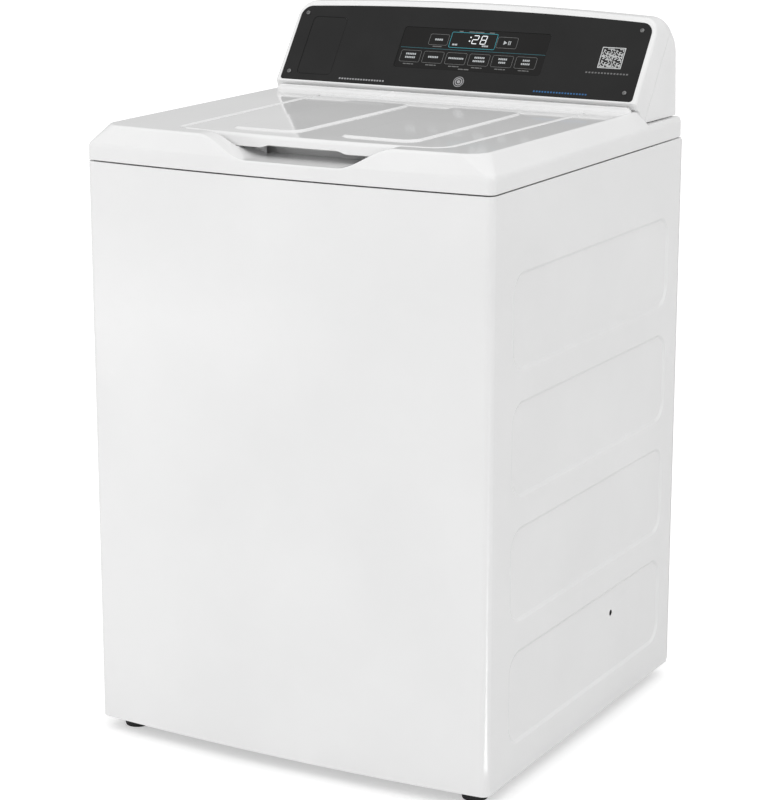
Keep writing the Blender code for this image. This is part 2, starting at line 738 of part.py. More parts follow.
def console_profile(x, inset=0.0):
    """Side view of the console at x, anticlockwise in Y and Z, front to the left."""
    nose = [(0.1765, 0.9648), (0.190, 0.9648), (0.2062, CONSOLE_BASE)]
    rear = [(0.331, CONSOLE_BASE), (0.331, 1.078), (0.3265, 1.0935), (0.315, 1.105), (0.300, CONSOLE_TOP)]
    crest = [(0.286, 1.1093), (0.275, 1.1055), (0.2665, 1.0968), (0.1835, 0.9790), (0.1765, 0.9705)]
    drop = CONSOLE_CROWN * min(abs(x) / 0.317, 1.0) ** 2
    overrun = max(abs(x) - (CONSOLE_HALF - CONSOLE_EDGE), 0.0) / CONSOLE_EDGE
    scale = 1 - 0.13 * (1 - math.sqrt(max(1 - overrun * overrun, 0.0)))
    points = []
    for y, z in nose + rear + crest:
        share = max(z - 0.979, 0.0) / (CONSOLE_TOP - 0.979)
        forward = min((0.331 - y) / (0.331 - 0.2665), 1.0)
        z -= drop * share
        y -= drop * share * forward * math.tan(FASCIA_LEAN)
        points.append((0.29 + (y - 0.29) * scale, CONSOLE_BASE + (z - CONSOLE_BASE) * scale))
    return inset_outline(points, inset) if inset else points


def console_rings(half, inset=0.0):
    edge = CONSOLE_EDGE
    places = [half, half - edge * 0.03, half - edge * 0.15, half - edge * 0.4, half - edge * 0.7, half - edge]
    places += [0.21, 0.105, 0.0]
    xs = [-x for x in places] + places[-2::-1]
    stretch = CONSOLE_HALF / half
    return [[(x, y, z) for y, z in console_profile(x * stretch, inset)] for x in xs]


def fascia_outline(grow=0.0):
    top = []
    for share in (0.75, 0.5, 0.25, 0.0, -0.25, -0.5, -0.75):
        top.append((share * FASCIA_HALF, FASCIA_HEIGHT + grow - FASCIA_CROWN * share * share, 0))
    side = FASCIA_HALF + grow
    corner_v = FASCIA_HEIGHT + grow - FASCIA_CROWN
    bottom = [(-side, -grow, 0.0055), (side, -grow, 0.0055)]
    return fillet([*bottom, (side, corner_v, 0.019), *top, (-side, corner_v, 0.019)])


def grown(box, grow):
    return (box[0] - grow, box[1] - grow, box[2] + grow, box[3] + grow)


def build_console():
    thin = FASCIA_THICKNESS + GAP
    half_space = box_mesh("front_of_wall", (-0.5, -0.5, -0.0028 - CONSOLE_WALL), (0.5, 0.5, 0.2))
    front_wall = add_cutter("front_of_wall", half_space, fascia_frame())
    hollow = loft_mesh("console_cavity", console_rings(CONSOLE_HALF - 0.0025, CONSOLE_WALL))
    cavity = add_cutter("console_cavity", hollow)
    cut(cavity, front_wall)
    well = box_mesh("console_well", (-0.322, 0.212, 0.93), (0.322, 0.331 - CONSOLE_WALL, 0.955))
    open_bottom = add_cutter("console_well", well)
    rear_half = box_mesh("behind_split", (-0.5, -0.5, -0.5), (0.5, 0.5, CONSOLE_SPLIT))
    behind = add_cutter("behind_split", rear_half, fascia_frame())
    front_half = box_mesh("before_split", (-0.5, -0.5, CONSOLE_SPLIT - GAP), (0.5, 0.5, 0.5))
    before = add_cutter("before_split", front_half, fascia_frame())
    shell = add_part("console_shell", loft_mesh("console_shell", console_rings(CONSOLE_HALF)), WHITE_PLASTIC)
    back = add_part("console_back", loft_mesh("console_back", console_rings(CONSOLE_HALF)), WHITE_PLASTIC)
    for half, waste in ((shell, behind), (back, before)):
        cut(half, waste)
        cut(half, cavity)
        cut(half, open_bottom)

    pocket = plate_mesh("fascia_pocket", [fascia_outline(GAP)], 0.020)
    cut(shell, add_cutter("fascia_pocket", pocket, fascia_frame(-thin)))
    bay = plate_mesh("board_bay", [rectangle(-0.200, 0.022, 0.230, 0.118, 0.006)], 0.020)
    cut(shell, add_cutter("board_bay", bay, fascia_frame(-0.015)))
    reader_bay = plate_mesh("reader_bay", [rectangle(-0.285, 0.022, -0.236, 0.110, 0.006)], 0.020)
    cut(shell, add_cutter("reader_bay", reader_bay, fascia_frame(-0.015)))
    for label, (x, v) in SCREW_PLACES.items():
        hole = rod_mesh("screw_hole_" + label, 0.0022, -0.020, 0.020, 12)
        cut(shell, add_cutter("screw_hole_" + label, hole, fascia_frame() @ Matrix.Translation((x, v, 0))))


def build_fascia():
    holes = [rectangle(*DISPLAY, 0.005), rectangle(*BLANK, 0.008)]
    holes += [circle(x, v, 0.0022, 12) for x, v in SCREW_PLACES.values()]
    mesh = plate_mesh("fascia", [fascia_outline(), *holes], FASCIA_THICKNESS)
    add_part("fascia", mesh, GLOSS_BLACK, fascia_frame(-FASCIA_THICKNESS))
    window = plate_mesh("display_window", [rectangle(*grown(DISPLAY, -GAP), 0.0047)], 0.0019)
    add_part("display_window", window, SCREEN_BLACK, fascia_frame(-0.0023))
    blank = plate_mesh("reader_blank_plate", [rectangle(*grown(BLANK, -GAP), 0.0077)], 0.0022)
    add_part("reader_blank_plate", blank, GLOSS_BLACK, fascia_frame(-0.0023))
    profile = [
        (0, 0.0018), (0.0020, 0.0017), (0.0036, 0.0008), (0.0037, GAP), (0.0018, GAP), (0.0018, -0.012),
        (0, -0.013),
    ]
    for label, (x, v) in SCREW_PLACES.items():
        place = fascia_frame() @ Matrix.Translation((x, v, 0))
        turned("fascia_screw_" + label, profile, STEEL, place, 16, closed=False)


def build_control_board():
    place = fascia_frame(-0.0085)
    mesh = plate_mesh("control_board", [rectangle(-0.150, 0.028, 0.170, 0.114, 0.003, 2)], 0.0016)
    board = add_part("control_board", mesh, BOARD, place)
    blocks = {
        "display_module": ((-0.100, 0.045, 0.001), (0.130, 0.105, 0.0055)),
        "relay": ((-0.130, 0.040, -0.018), (-0.100, 0.062, 0.001)),
        "transformer": ((0.060, 0.045, -0.026), (0.105, 0.085, 0.001)),
        "connector": ((-0.060, 0.090, -0.012), (0.020, 0.104, 0.001)),
    }
    for name, (low, high) in blocks.items():
        join(board, add_cutter(name, box_mesh(name, low, high), place))


# Wash system

def wash_axis(x=0.0):
    return Matrix.Translation((x, AXIS_Y, 0))


def build_outer_tub(axis):
    inner = TUB_RADIUS - TUB_WALL
    profile = [
        (TUB_RADIUS, TUB_TOP), (TUB_RADIUS, 0.290), (0.270, TUB_BOTTOM), (0.060, TUB_BOTTOM), (0.060, 0.262),
        (HUB_RADIUS, 0.262), (HUB_RADIUS, 0.2865), (0.054, 0.2865), (0.060, 0.280), (0.268, 0.280),
        (inner, 0.292), (inner, TUB_TOP),
    ]
    tub = turned("outer_tub", profile, GREY_PLASTIC, wash_axis())
    for label, sign_x, sign_y in corner_places():
        angle = math.atan2(sign_y, sign_x)
        place = wash_axis() @ Matrix.Rotation(angle, 4, "Z")
        ear = box_mesh("ear_" + label, (0.2835, -0.024, EAR[0]), (0.378, 0.024, EAR[1]))
        join(tub, add_cutter("ear_" + label, ear, place))
        hole = rod_mesh("ear_hole_" + label, ROD_RADIUS + 0.0015, EAR[0] - 0.02, EAR[1] + 0.02, 12)
        rod_place = Matrix.Translation((sign_x * ROD_OFFSET, AXIS_Y + sign_y * ROD_OFFSET, 0))
        cut(tub, add_cutter("ear_hole_" + label, hole, rod_place))
    cover_profile = [
        (0.292, 0.835), (0.292, 0.800), (TUB_RADIUS + 0.0005, 0.800), (TUB_RADIUS + 0.0005, TUB_TOP + GAP),
        (0.228, TUB_TOP + GAP), (0.228, 0.835),
    ]
    cover = turned("tub_cover", cover_profile, GREY_PLASTIC, wash_axis())
    for piece in (tub, cover):
        hang_on(piece, axis)


def build_drive(axis, pulley_axis, motor_axis, pump_axis):
    bore = SPIN_TUBE_RADIUS + RUN
    gearcase = turned("gearcase", [
        (0.058, 0.2617), (0.085, 0.245), (0.085, 0.150), (0.070, 0.135), (0.0303, 0.135), (0.0303, 0.150),
        (bore + 0.0004, 0.150), (bore + 0.0004, 0.2617),
    ], CAST, wash_axis())
    upper = turned("upper_bearing", [
        (0.0352, 0.2765), (0.0352, 0.2623), (bore, 0.2623), (bore, 0.2765),
    ], STEEL, wash_axis(), SMALL_STEPS)
    lower = turned("lower_bearing", [
        (0.0300, 0.1497), (0.0300, 0.1355), (bore, 0.1355), (bore, 0.1497),
    ], STEEL, wash_axis(), SMALL_STEPS)
    seal = turned("tub_seal", [
        (0.0352, 0.2865), (0.0352, 0.2768), (bore, 0.2768), (bore, 0.2900), (0.0230, 0.2900),
    ], RUBBER, wash_axis(), SMALL_STEPS)
    motor = turned("drive_motor", [
        (0, 0.2747), (0.030, 0.2747), (0.062, 0.262), (0.062, 0.155), (0.045, 0.140), (0, 0.140),
    ], CAST, wash_axis(MOTOR_X), SMALL_STEPS, closed=False)
    pump = turned("pump_body", [
        (0, 0.2747), (0.045, 0.2747), (0.045, 0.175), (0.038, 0.175), (0.038, 0.235), (0, 0.235),
    ], GREY_PLASTIC, wash_axis(PUMP_X), SMALL_STEPS, closed=False)
    spout = rod_mesh("pump_spout", 0.013, -0.085, -0.0415, 16)
    join(pump, add_cutter("pump_spout", spout, along_x(AXIS_Y, 0.200, PUMP_X)))
    loops = [belt_outline(BELT_THICKNESS + BELT_GAP), belt_outline(BELT_GAP)]
    belt = plate_mesh("drive_belt", loops, BELT[1] - BELT[0])
    belt_part = add_part("drive_belt", belt, RUBBER, Matrix.Translation((0, AXIS_Y, BELT[0])))
    for piece in (gearcase, upper, lower, seal, motor, pump, belt_part):
        hang_on(piece, axis)

    shaft_bore = SHAFT_RADIUS + RUN
    pulley = turned("drive_pulley", [
        (0.026, 0.128), (0.026, 0.118), (0.100, 0.118), (0.100, 0.125), (DRIVE_PULLEY_RADIUS, 0.125),
        (DRIVE_PULLEY_RADIUS, 0.105), (0.100, 0.105), (0.100, 0.112), (0.026, 0.112), (0.026, 0.100),
        (shaft_bore, 0.100), (shaft_bore, 0.128),
    ], CAST, wash_axis(), 24)
    spokes = 5
    for index in range(spokes):
        window = plate_mesh(f"spoke_gap_{index}", [sector_outline(0.036, 0.092, math.radians(42))], 0.030)
        place = wash_axis() @ Matrix.Rotation(2 * math.pi * index / spokes, 4, "Z")
        place = place @ Matrix.Translation((0, 0, 0.100))
        cut(pulley, add_cutter(f"spoke_gap_{index}", window, place))
    hang_on(pulley, pulley_axis)
    motor_pulley = turned("motor_pulley", [
        (0, 0.1397), (0.006, 0.1397), (0.006, 0.128), (MOTOR_PULLEY_RADIUS, 0.128),
        (MOTOR_PULLEY_RADIUS, 0.102), (0, 0.102),
    ], STEEL, wash_axis(MOTOR_X), SMALL_STEPS, closed=False)
    hang_on(motor_pulley, motor_axis)
    impeller = turned("pump_impeller", [
        (0, 0.2340), (0.009, 0.2340), (0.011, 0.185), (0, 0.182),
    ], GREY_PLASTIC, wash_axis(PUMP_X), 16, closed=False)
    for index in range(3):
        blade = box_mesh(f"blade_{index}", (-0.031, -0.0015, 0.192), (0.031, 0.0015, 0.224))
        place = wash_axis(PUMP_X) @ Matrix.Rotation(math.pi * (index + 0.25) / 3, 4, "Z")
        join(impeller, add_cutter(f"blade_{index}", blade, place))
    hang_on(impeller, pump_axis)


def sector_outline(inner, outer, sweep):
    steps = 6
    arc = [sweep * (step / steps - 0.5) for step in range(steps + 1)]
    outside = [(outer * math.cos(turn), outer * math.sin(turn)) for turn in arc]
    inside = [(inner * math.cos(turn), inner * math.sin(turn)) for turn in reversed(arc)]
    return outside + inside


def belt_outline(grow):
    """Closed loop round both pulleys, grow outside their rims."""
    wide = DRIVE_PULLEY_RADIUS + grow
    narrow = MOTOR_PULLEY_RADIUS + grow
    lean = math.acos((wide - narrow) / MOTOR_X)
    steps = 24
    points = []
    for step in range(steps + 1):
        turn = lean + (2 * math.pi - 2 * lean) * step / steps
        points.append((wide * math.cos(turn), wide * math.sin(turn)))
    for step in range(9):
        turn = -lean + 2 * lean * step / 8
        points.append((MOTOR_X + narrow * math.cos(turn), narrow * math.sin(turn)))
    return points


def build_basket(basket_axis, agitator_axis):
    inner = BASKET_RADIUS - BASKET_WALL
    bore = SPIN_TUBE_RADIUS + GAP
    basket = turned("basket", [
        (BASKET_RADIUS, BASKET_TOP), (BASKET_RADIUS, 0.336), (0.250, BASKET_BOTTOM), (bore, BASKET_BOTTOM),
        (bore, 0.339), (0.044, 0.339), (0.050, 0.3205), (0.249, 0.3205), (inner, 0.337), (inner, BASKET_TOP),
    ], STEEL, wash_axis())
    ring = turned("balance_ring", [
        (0.260, 0.812), (0.2635, 0.808), (0.2635, BASKET_TOP + GAP), (0.238, BASKET_TOP + GAP), (0.235, 0.790),
        (0.235, 0.808), (0.239, 0.812),
    ], GREY_PLASTIC, wash_axis())
    tube = turned("spin_tube", [
        (SPIN_TUBE_RADIUS, 0.345), (SPIN_TUBE_RADIUS, 0.130), (0.0125, 0.130), (0.0125, 0.345),
    ], STEEL, wash_axis(), SMALL_STEPS)
    for piece in (basket, ring, tube):
        hang_on(piece, basket_axis)

    shaft_bore = SHAFT_RADIUS + RUN
    agitator = turned("agitator", [
        (0.050, 0.690), (0.046, 0.600), (0.052, 0.480), (0.075, 0.410), (0.120, 0.366), (0.165, 0.350),
        (0.170, 0.344), (0.165, 0.3415), (0.117, 0.358), (0.071, 0.402), (0.047, 0.478), (0.041, 0.600),
        (0.043, 0.676), (shaft_bore, 0.676), (shaft_bore, 0.690),
    ], WHITE_PLASTIC, wash_axis())
    fin = [
        (0.0445, 0.660), (0.070, 0.640), (0.082, 0.470), (0.148, 0.385), (0.152, 0.3555), (0.118, 0.3625),
        (0.0735, 0.4055), (0.0495, 0.478), (0.0435, 0.600),
    ]
    for index in range(4):
        place = wash_axis() @ Matrix.Rotation(math.pi / 2 * (index + 0.5), 4, "Z") @ upright(0.0025)
        join(agitator, add_cutter(f"fin_{index}", plate_mesh(f"fin_{index}", [fin], 0.005), place))
    cap = turned("agitator_cap", [
        (0, 0.735), (0.020, 0.733), (0.038, 0.724), (0.047, 0.708), (0.049, 0.6903), (0, 0.6903),
    ], WHITE_PLASTIC, wash_axis(), 32, closed=False)
    shaft = turned("agitator_shaft", [
        (0, 0.689), (0.009, 0.689), (SHAFT_RADIUS, 0.687), (SHAFT_RADIUS, 0.097), (0, 0.095),
    ], STEEL, wash_axis(), SMALL_STEPS, closed=False)
    for piece in (agitator, cap, shaft):
        hang_on(piece, agitator_axis)


def build_suspension():
    top = BRACKET_Z + 0.003
    profile = [
        (0, top + 0.014), (0.006, top + 0.012), (0.009, top + 0.006), (0.009, top + GAP), (ROD_RADIUS, top + GAP),
        (ROD_RADIUS, ROD_FOOT_Z + 0.006), (0.0165, ROD_FOOT_Z + 0.006), (0.0165, ROD_FOOT_Z), (0, ROD_FOOT_Z),
    ]
    low = ROD_FOOT_Z + 0.006 + GAP + SPRING_WIRE
    high = EAR[0] - GAP - SPRING_WIRE
    steps = 7
    for label, sign_x, sign_y in corner_places():
        x = sign_x * ROD_OFFSET
        y = AXIS_Y + sign_y * ROD_OFFSET
        turned("suspension_rod_" + label, profile, STEEL, Matrix.Translation((x, y, 0)), 12, closed=False)
        coil = []
        for step in range(SPRING_TURNS * steps + 1):
            turn = 2 * math.pi * step / steps
            height = low + (high - low) * step / (SPRING_TURNS * steps)
            coil.append((x + SPRING_RADIUS * math.cos(turn), y + SPRING_RADIUS * math.sin(turn), height))
        name = "suspension_spring_" + label
        add_part(name, tube_mesh(name, coil, SPRING_WIRE, 0), ZINC)


# Water and power connections

def build_connections():
    low = (0.130, 0.292, INLET_Z - 0.018)
    high = (0.220, 0.318, INLET_Z + 0.018)
    valve = add_part("water_valve", box_mesh("water_valve", low, high), GREY_PLASTIC)
    for index, x in enumerate(INLETS):
        nipple = rod_mesh(f"nipple_{index}", INLET_RADIUS, 0.315, INLET_REACH)
        join(valve, add_cutter(f"nipple_{index}", nipple, along_y(x, INLET_Z)))
        bore = rod_mesh(f"inlet_bore_{index}", 0.009, 0.322, 0.360)
        cut(valve, add_cutter(f"inlet_bore_{index}", bore, along_y(x, INLET_Z)))
        coil = rod_mesh(f"solenoid_{index}", 0.013, 0.262, 0.294)
        join(valve, add_cutter(f"solenoid_{index}", coil, along_y(x, INLET_Z)))
    route = [
        (0.175, 0.2915, 0.840), (0.175, 0.270, 0.840), (0.173, 0.252, 0.848), (0.166, 0.232, 0.861),
        (0.156, 0.205, 0.870), (0.145, 0.180, 0.872), (0.134, 0.158, 0.871), (0.126, 0.143, 0.866),
        (0.121, 0.133, 0.857),
    ]
    add_part("fill_nozzle", tube_mesh("fill_nozzle", route, 0.009), RUBBER)
    turned("drain_port", [
        (0.0155, 0.0165), (0.0155, 0.0035), (0.024, 0.0035), (0.024, 0.0), (0.0145, 0.0), (0.0145, -0.040),
        (0.0105, -0.040), (0.0105, 0.0165),
    ], GREY_PLASTIC, along_y(DRAIN_X, PORT_Z, 0.333 - 0.0040), SMALL_STEPS)
    turned("cord_bushing", [
        (0.0155, 0.0060), (0.0155, 0.0), (0.0120, 0.0), (0.0120, -0.0020), (0.0150, -0.0040), (0.0150, -0.0080),
        (0.0060, -0.0080), (0.0060, 0.0060),
    ], RUBBER, along_y(CORD_X, PORT_Z, BACK_Y + GAP), SMALL_STEPS)


# Joint axes

def add_axis(name, place):
    marker = bpy.data.objects.new(name, None)
    marker.empty_display_size = 0.05
    marker.location = place
    CUTTERS.objects.link(marker)
    return marker


def hang_on(part, axis):
    """Parents a part to its joint axis and keeps it where it is."""
    part.parent = axis
    part.matrix_parent_inverse = Matrix.Translation(axis.location).inverted()


def main():
    build_cabinet()
    build_rear_panel()
    build_base_frame()
    build_corner_brackets()
    build_feet()
    build_top_cover()
    build_lid(add_axis("lid_hinge_axis", (LID_X, HINGE_Y, HINGE_Z)))
    build_lid_lock(add_axis("lock_bolt_axis", (LOCK_X + 0.0165, LOCK_Y, BOLT_Z)))
    build_console()
    build_fascia()
    build_control_board()
    tub_axis = add_axis("tub_axis", (0, AXIS_Y, EAR[0]))
    build_outer_tub(tub_axis)
    pulley_axis = add_axis("drive_pulley_axis", (0, AXIS_Y, 0.115))
    motor_axis = add_axis("motor_pulley_axis", (MOTOR_X, AXIS_Y, 0.115))
    pump_axis = add_axis("pump_impeller_axis", (PUMP_X, AXIS_Y, 0.205))
    build_drive(tub_axis, pulley_axis, motor_axis, pump_axis)
    basket_axis = add_axis("basket_axis", (0, AXIS_Y, BASKET_BOTTOM))
    build_basket(basket_axis, add_axis("agitator_axis", (0, AXIS_Y, 0.344)))
    build_suspension()
    build_connections()


main()
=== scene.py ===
"""Looks of the top-load laundry washer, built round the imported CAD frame. Metres, +Z up, front at -Y."""
import math

import bmesh
import bpy
from mathutils import Matrix, Vector


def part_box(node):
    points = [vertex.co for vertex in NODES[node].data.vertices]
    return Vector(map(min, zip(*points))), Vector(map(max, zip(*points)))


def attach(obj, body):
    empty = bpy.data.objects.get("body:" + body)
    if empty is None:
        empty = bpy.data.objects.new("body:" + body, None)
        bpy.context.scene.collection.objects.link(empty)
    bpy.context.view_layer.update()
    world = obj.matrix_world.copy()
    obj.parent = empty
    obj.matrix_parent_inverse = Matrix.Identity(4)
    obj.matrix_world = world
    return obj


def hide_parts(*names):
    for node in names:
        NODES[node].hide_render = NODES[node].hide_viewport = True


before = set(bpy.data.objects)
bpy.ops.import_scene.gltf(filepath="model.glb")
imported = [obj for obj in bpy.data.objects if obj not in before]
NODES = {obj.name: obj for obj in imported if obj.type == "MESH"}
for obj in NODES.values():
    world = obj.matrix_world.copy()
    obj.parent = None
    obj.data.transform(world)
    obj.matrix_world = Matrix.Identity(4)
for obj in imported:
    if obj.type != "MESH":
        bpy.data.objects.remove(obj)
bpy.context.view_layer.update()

# Outlines shared with the CAD frame
HALF_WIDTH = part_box("cabinet")[1][0]
FRONT_Y = -0.335
FRONT_BOW = 0.0145
CORNER_RADIUS = 0.012
CABINET_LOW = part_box("cabinet")[0][2]
CABINET_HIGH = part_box("cabinet")[1][2]
CABINET_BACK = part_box("cabinet")[1][1]
SHEET = 0.0012
FLANGE = 0.024
RECESS_LOW = 0.0722
RECESS_HIGH = 0.2197
RECESS_PITCH = 0.190
RECESS_Y = (-0.268, 0.290)
RECESS_RADIUS = 0.035
RECESS_SLOPE = 0.007
RECESS_DEPTH = 0.0025
SIDE_HOLE = (0.1008, 0.1752, 0.005)

DECK_Z = 0.9643
COVER_LOW = 0.9104
COVER_BACK = 0.3275
SKIRT_Z = (0.9344, 0.9387)
DECK_HALF = (0.319, 0.3265)
DECK_FRONT = -0.327
DECK_BACK = 0.290
DECK_RADIUS = 0.040
LEDGE_Z = 0.944
MOUTH = (0.020, -0.085, 0.190, 0.170, 0.150)
MOUTH_LOW = 0.922
SCOOP_FLOOR = 0.932
SCOOP_HALF = (0.075, 0.165)
SCOOP_BACK = -0.272
SCOOP_DISH = 0.0022
SLOT_HALF = SCOOP_HALF[0] + 0.010
POCKET_BACK = -0.2585
STRIKE_SLOT = (0.2220, -0.1625, 0.2385, -0.1375)
PIN_CENTRE = (0.139, 0.960)
STEP_Y = (0.190, 0.2058)
STEP_Z = 0.9425

LID_X = 0.0225
LID_HALF = (0.2235, 0.2375)
LID_Y = (-0.296, 0.145)
LID_BOW = 0.012
LID_RADII = (0.035, 0.020, 0.008)
LID_GAP = 0.0020
LID_TOP = 0.9640
LID_EDGE = 0.0060
LIP_Z = 0.9455
LID_SKIRT = 0.9500
PAD_TOP = 0.9665
PADS = ((-0.130, -0.015), (0.055, 0.182))
PAD_Y = (-0.265, 0.086)
PAD_RUN = 0.0050

FASCIA_Y = 0.185
FASCIA_Z = 0.9797
LEAN = math.radians(35.16)
FASCIA_HALF = 0.3184
FASCIA_LEFT = 0.0018
FASCIA_HEIGHT = 0.1486
FASCIA_CROWN = 0.0094
CONSOLE_HALF = 0.3272
CONSOLE_X = -0.0012
CONSOLE_CORNER = 0.026
CONSOLE_FLARE = 0.14
CONSOLE_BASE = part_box("console_shell")[0][2]
CONSOLE_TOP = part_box("console_shell")[1][2]
CONSOLE_FOOT = 0.979
CONSOLE_BACK = 0.331
CONSOLE_CREST = 0.2665
CONSOLE_MIDDLE = 0.29
CONSOLE_EDGE = 0.0060
CONSOLE_CROWN = 0.0081
CONSOLE_SPLIT = -0.044

AXIS_Y = -0.0075
HOLE_RADIUS = 0.0028
FIN_HALF = 0.0028

# Studio dome: (direction, cosine where the patch starts, where it is full, strength)
DOME = (
    ((0, 0, 1), -1.01, -1.0, 0.47),
    ((0, 0, -1), -0.02, 0.06, 0.60),
    ((-0.3, -1.0, 0.1), 0.0, 0.90, 0.36),
    ((1.0, -0.3, 0.3), 0.10, 0.90, 0.47),
    ((0, 0, 1), 0.40, 0.90, 0.54),
)
FLOOR_GLOW = 0.45
# Soft lamps: (name, place, turn in degrees, size, watts, mirrored). A mirrored lamp shows only in
# reflections; the other lights surfaces without being reflected.
LAMPS = (
    ("low_left", (-2.4, -2.8, 0.30), (80.0, 0.0, -40.0), (1.6, 0.6), 17, False),
    ("corner_strip", (1.72, -1.10, 0.004), (180.0, 0.0, -29.3), (2.9, 0.16), 7, True),
)

CAMERA_PLACE = (1.8728, -3.3675, 1.4784)
CAMERA_TURN = (75.827, 0.0, 29.306)
CAMERA_LENS = 112.24

# Columns that the cover and the lid share along the front
FRONT_COLUMNS = [-0.155 + 0.355 * step / 142 for step in range(143)]
ARC = 12
# Distance below which the points of small parts are merged
FINE = 0.000002


# Materials

def new_material(name):
    made = bpy.data.materials.new(name)
    made.use_nodes = True
    return made, made.node_tree, made.node_tree.nodes["Principled BSDF"]


def node(tree, kind, **values):
    made = tree.nodes.new(kind)
    for key, value in values.items():
        if key in made.inputs:
            made.inputs[key].default_value = value
        else:
            setattr(made, key, value)
    return made


def coordinates(tree, stretch):
    where = tree.nodes.new("ShaderNodeTexCoord")
    scaled = node(tree, "ShaderNodeMapping", Scale=stretch)
    tree.links.new(where.outputs["Object"], scaled.inputs["Vector"])
    return scaled.outputs["Vector"]


def noise(tree, scale, detail, stretch):
    made = node(tree, "ShaderNodeTexNoise", Scale=scale, Detail=detail, Roughness=0.5)
    tree.links.new(coordinates(tree, stretch), made.inputs["Vector"])
    return made.outputs["Fac"]


def spread(tree, source, low, high, into):
    """Maps a 0..1 pattern to low..high and feeds it to a shader socket."""
    limits = {"From Min": 0.3, "From Max": 0.7, "To Min": low, "To Max": high}
    ramp = node(tree, "ShaderNodeMapRange", **limits)
    tree.links.new(source, ramp.inputs["Value"])
    tree.links.new(ramp.outputs["Result"], into)


def tint(tree, source, dark, light, into):
    ramp = tree.nodes.new("ShaderNodeValToRGB")
    for stop, position, colour in zip(ramp.color_ramp.elements, (0.35, 0.65), (dark, light)):
        stop.position = position
        stop.color = (*colour, 1)
    tree.links.new(source, ramp.inputs["Fac"])
    tree.links.new(ramp.outputs["Color"], into)


def bump(tree, shader, source, strength, distance):
    made = node(tree, "ShaderNodeBump", Strength=strength, Distance=distance)
    tree.links.new(source, made.inputs["Height"])
    tree.links.new(made.outputs["Normal"], shader.inputs["Normal"])


def surface(name, dark, light, rough, grain, metallic=0.0, bumps=None, stretch=(1, 1, 1)):
    """A procedural finish: colour and roughness drift with one noise, relief comes from another."""
    made, tree, shader = new_material(name)
    shader.inputs["Metallic"].default_value = metallic
    drift = noise(tree, grain, 4.0, stretch)
    tint(tree, drift, dark, light, shader.inputs["Base Color"])
    spread(tree, drift, rough[0], rough[1], shader.inputs["Roughness"])
    if bumps:
        scale, strength, distance = bumps
        bump(tree, shader, noise(tree, scale, 3.0, stretch), strength, distance)
    return made


def principled(material):
    return material.node_tree.nodes["Principled BSDF"]


def enamel(name, rough, peel):
    """Baked gloss enamel: an even white with a faint orange peel."""
    made = surface(name, (0.80, 0.80, 0.80), (0.825, 0.825, 0.825), rough, 5.0, bumps=(420.0, peel, 0.0002))
    principled(made).inputs["IOR"].default_value = 1.55
    return made


ENAMEL = enamel("white_enamel", (0.12, 0.18), 0.02)
TOP_ENAMEL = enamel("white_enamel_top", (0.05, 0.08), 0.006)
principled(TOP_ENAMEL).inputs["Specular IOR Level"].default_value = 0.14
WHITE_PLASTIC = surface("white_plastic", (0.79, 0.79, 0.79), (0.82, 0.82, 0.82), (0.20, 0.28), 9.0,
                        bumps=(1500.0, 0.03, 0.0001))
INNER_PLASTIC = surface("white_inner_plastic", (0.74, 0.75, 0.76), (0.80, 0.81, 0.82), (0.30, 0.42), 11.0,
                        bumps=(900.0, 0.08, 0.0002))
FASCIA_BLACK = surface("fascia_black", (0.010, 0.010, 0.010), (0.013, 0.013, 0.013), (0.28, 0.36), 14.0,
                       bumps=(3000.0, 0.05, 0.00005))
DISPLAY_BLACK = surface("display_black", (0.0035, 0.0032, 0.003), (0.005, 0.0047, 0.0045), (0.14, 0.20), 9.0,
                        bumps=(1200.0, 0.02, 0.00005))
for black in (FASCIA_BLACK, DISPLAY_BLACK):
    principled(black).inputs["Specular IOR Level"].default_value = 0.18
GREY_PLASTIC = surface("grey_plastic", (0.40, 0.42, 0.45), (0.47, 0.49, 0.52), (0.42, 0.56), 18.0,
                       bumps=(700.0, 0.15, 0.0003))
RUBBER = surface("black_rubber", (0.012, 0.012, 0.012), (0.030, 0.030, 0.031), (0.62, 0.82), 40.0,
                 bumps=(1100.0, 0.25, 0.0003))
STAINLESS = surface("stainless", (0.68, 0.69, 0.70), (0.79, 0.80, 0.81), (0.18, 0.34), 60.0, metallic=1.0,
                    bumps=(260.0, 0.12, 0.0002), stretch=(1, 1, 22))
ZINC = surface("zinc_steel", (0.42, 0.43, 0.44), (0.60, 0.61, 0.60), (0.30, 0.52), 55.0, metallic=1.0,
               bumps=(500.0, 0.10, 0.0002))
CAST = surface("cast_metal", (0.38, 0.39, 0.40), (0.54, 0.55, 0.56), (0.45, 0.65), 80.0, metallic=1.0,
               bumps=(650.0, 0.35, 0.0006))
BOARD = surface("circuit_board", (0.012, 0.10, 0.04), (0.03, 0.20, 0.09), (0.30, 0.50), 160.0,
                bumps=(900.0, 0.3, 0.0003))
PRINT_WHITE = surface("print_white", (0.30, 0.30, 0.31), (0.42, 0.42, 0.43), (0.40, 0.50), 300.0)
PRINT_BRIGHT = surface("print_bright", (0.55, 0.56, 0.56), (0.66, 0.67, 0.67), (0.40, 0.50), 300.0)
SCREW_BLACK = surface("screw_black", (0.16, 0.16, 0.16), (0.26, 0.26, 0.26), (0.25, 0.40), 400.0, metallic=1.0)
PRINT_GREY = surface("print_grey", (0.12, 0.12, 0.12), (0.17, 0.17, 0.17), (0.40, 0.50), 300.0)
PRINT_TEAL = surface("print_teal", (0.015, 0.11, 0.14), (0.02, 0.15, 0.18), (0.35, 0.45), 300.0)
PRINT_BLUE = surface("print_blue", (0.005, 0.09, 0.25), (0.01, 0.13, 0.34), (0.35, 0.45), 300.0)
FLOOR_WHITE = surface("floor_white", (0.72, 0.72, 0.72), (0.75, 0.75, 0.75), (0.55, 0.70), 3.0)


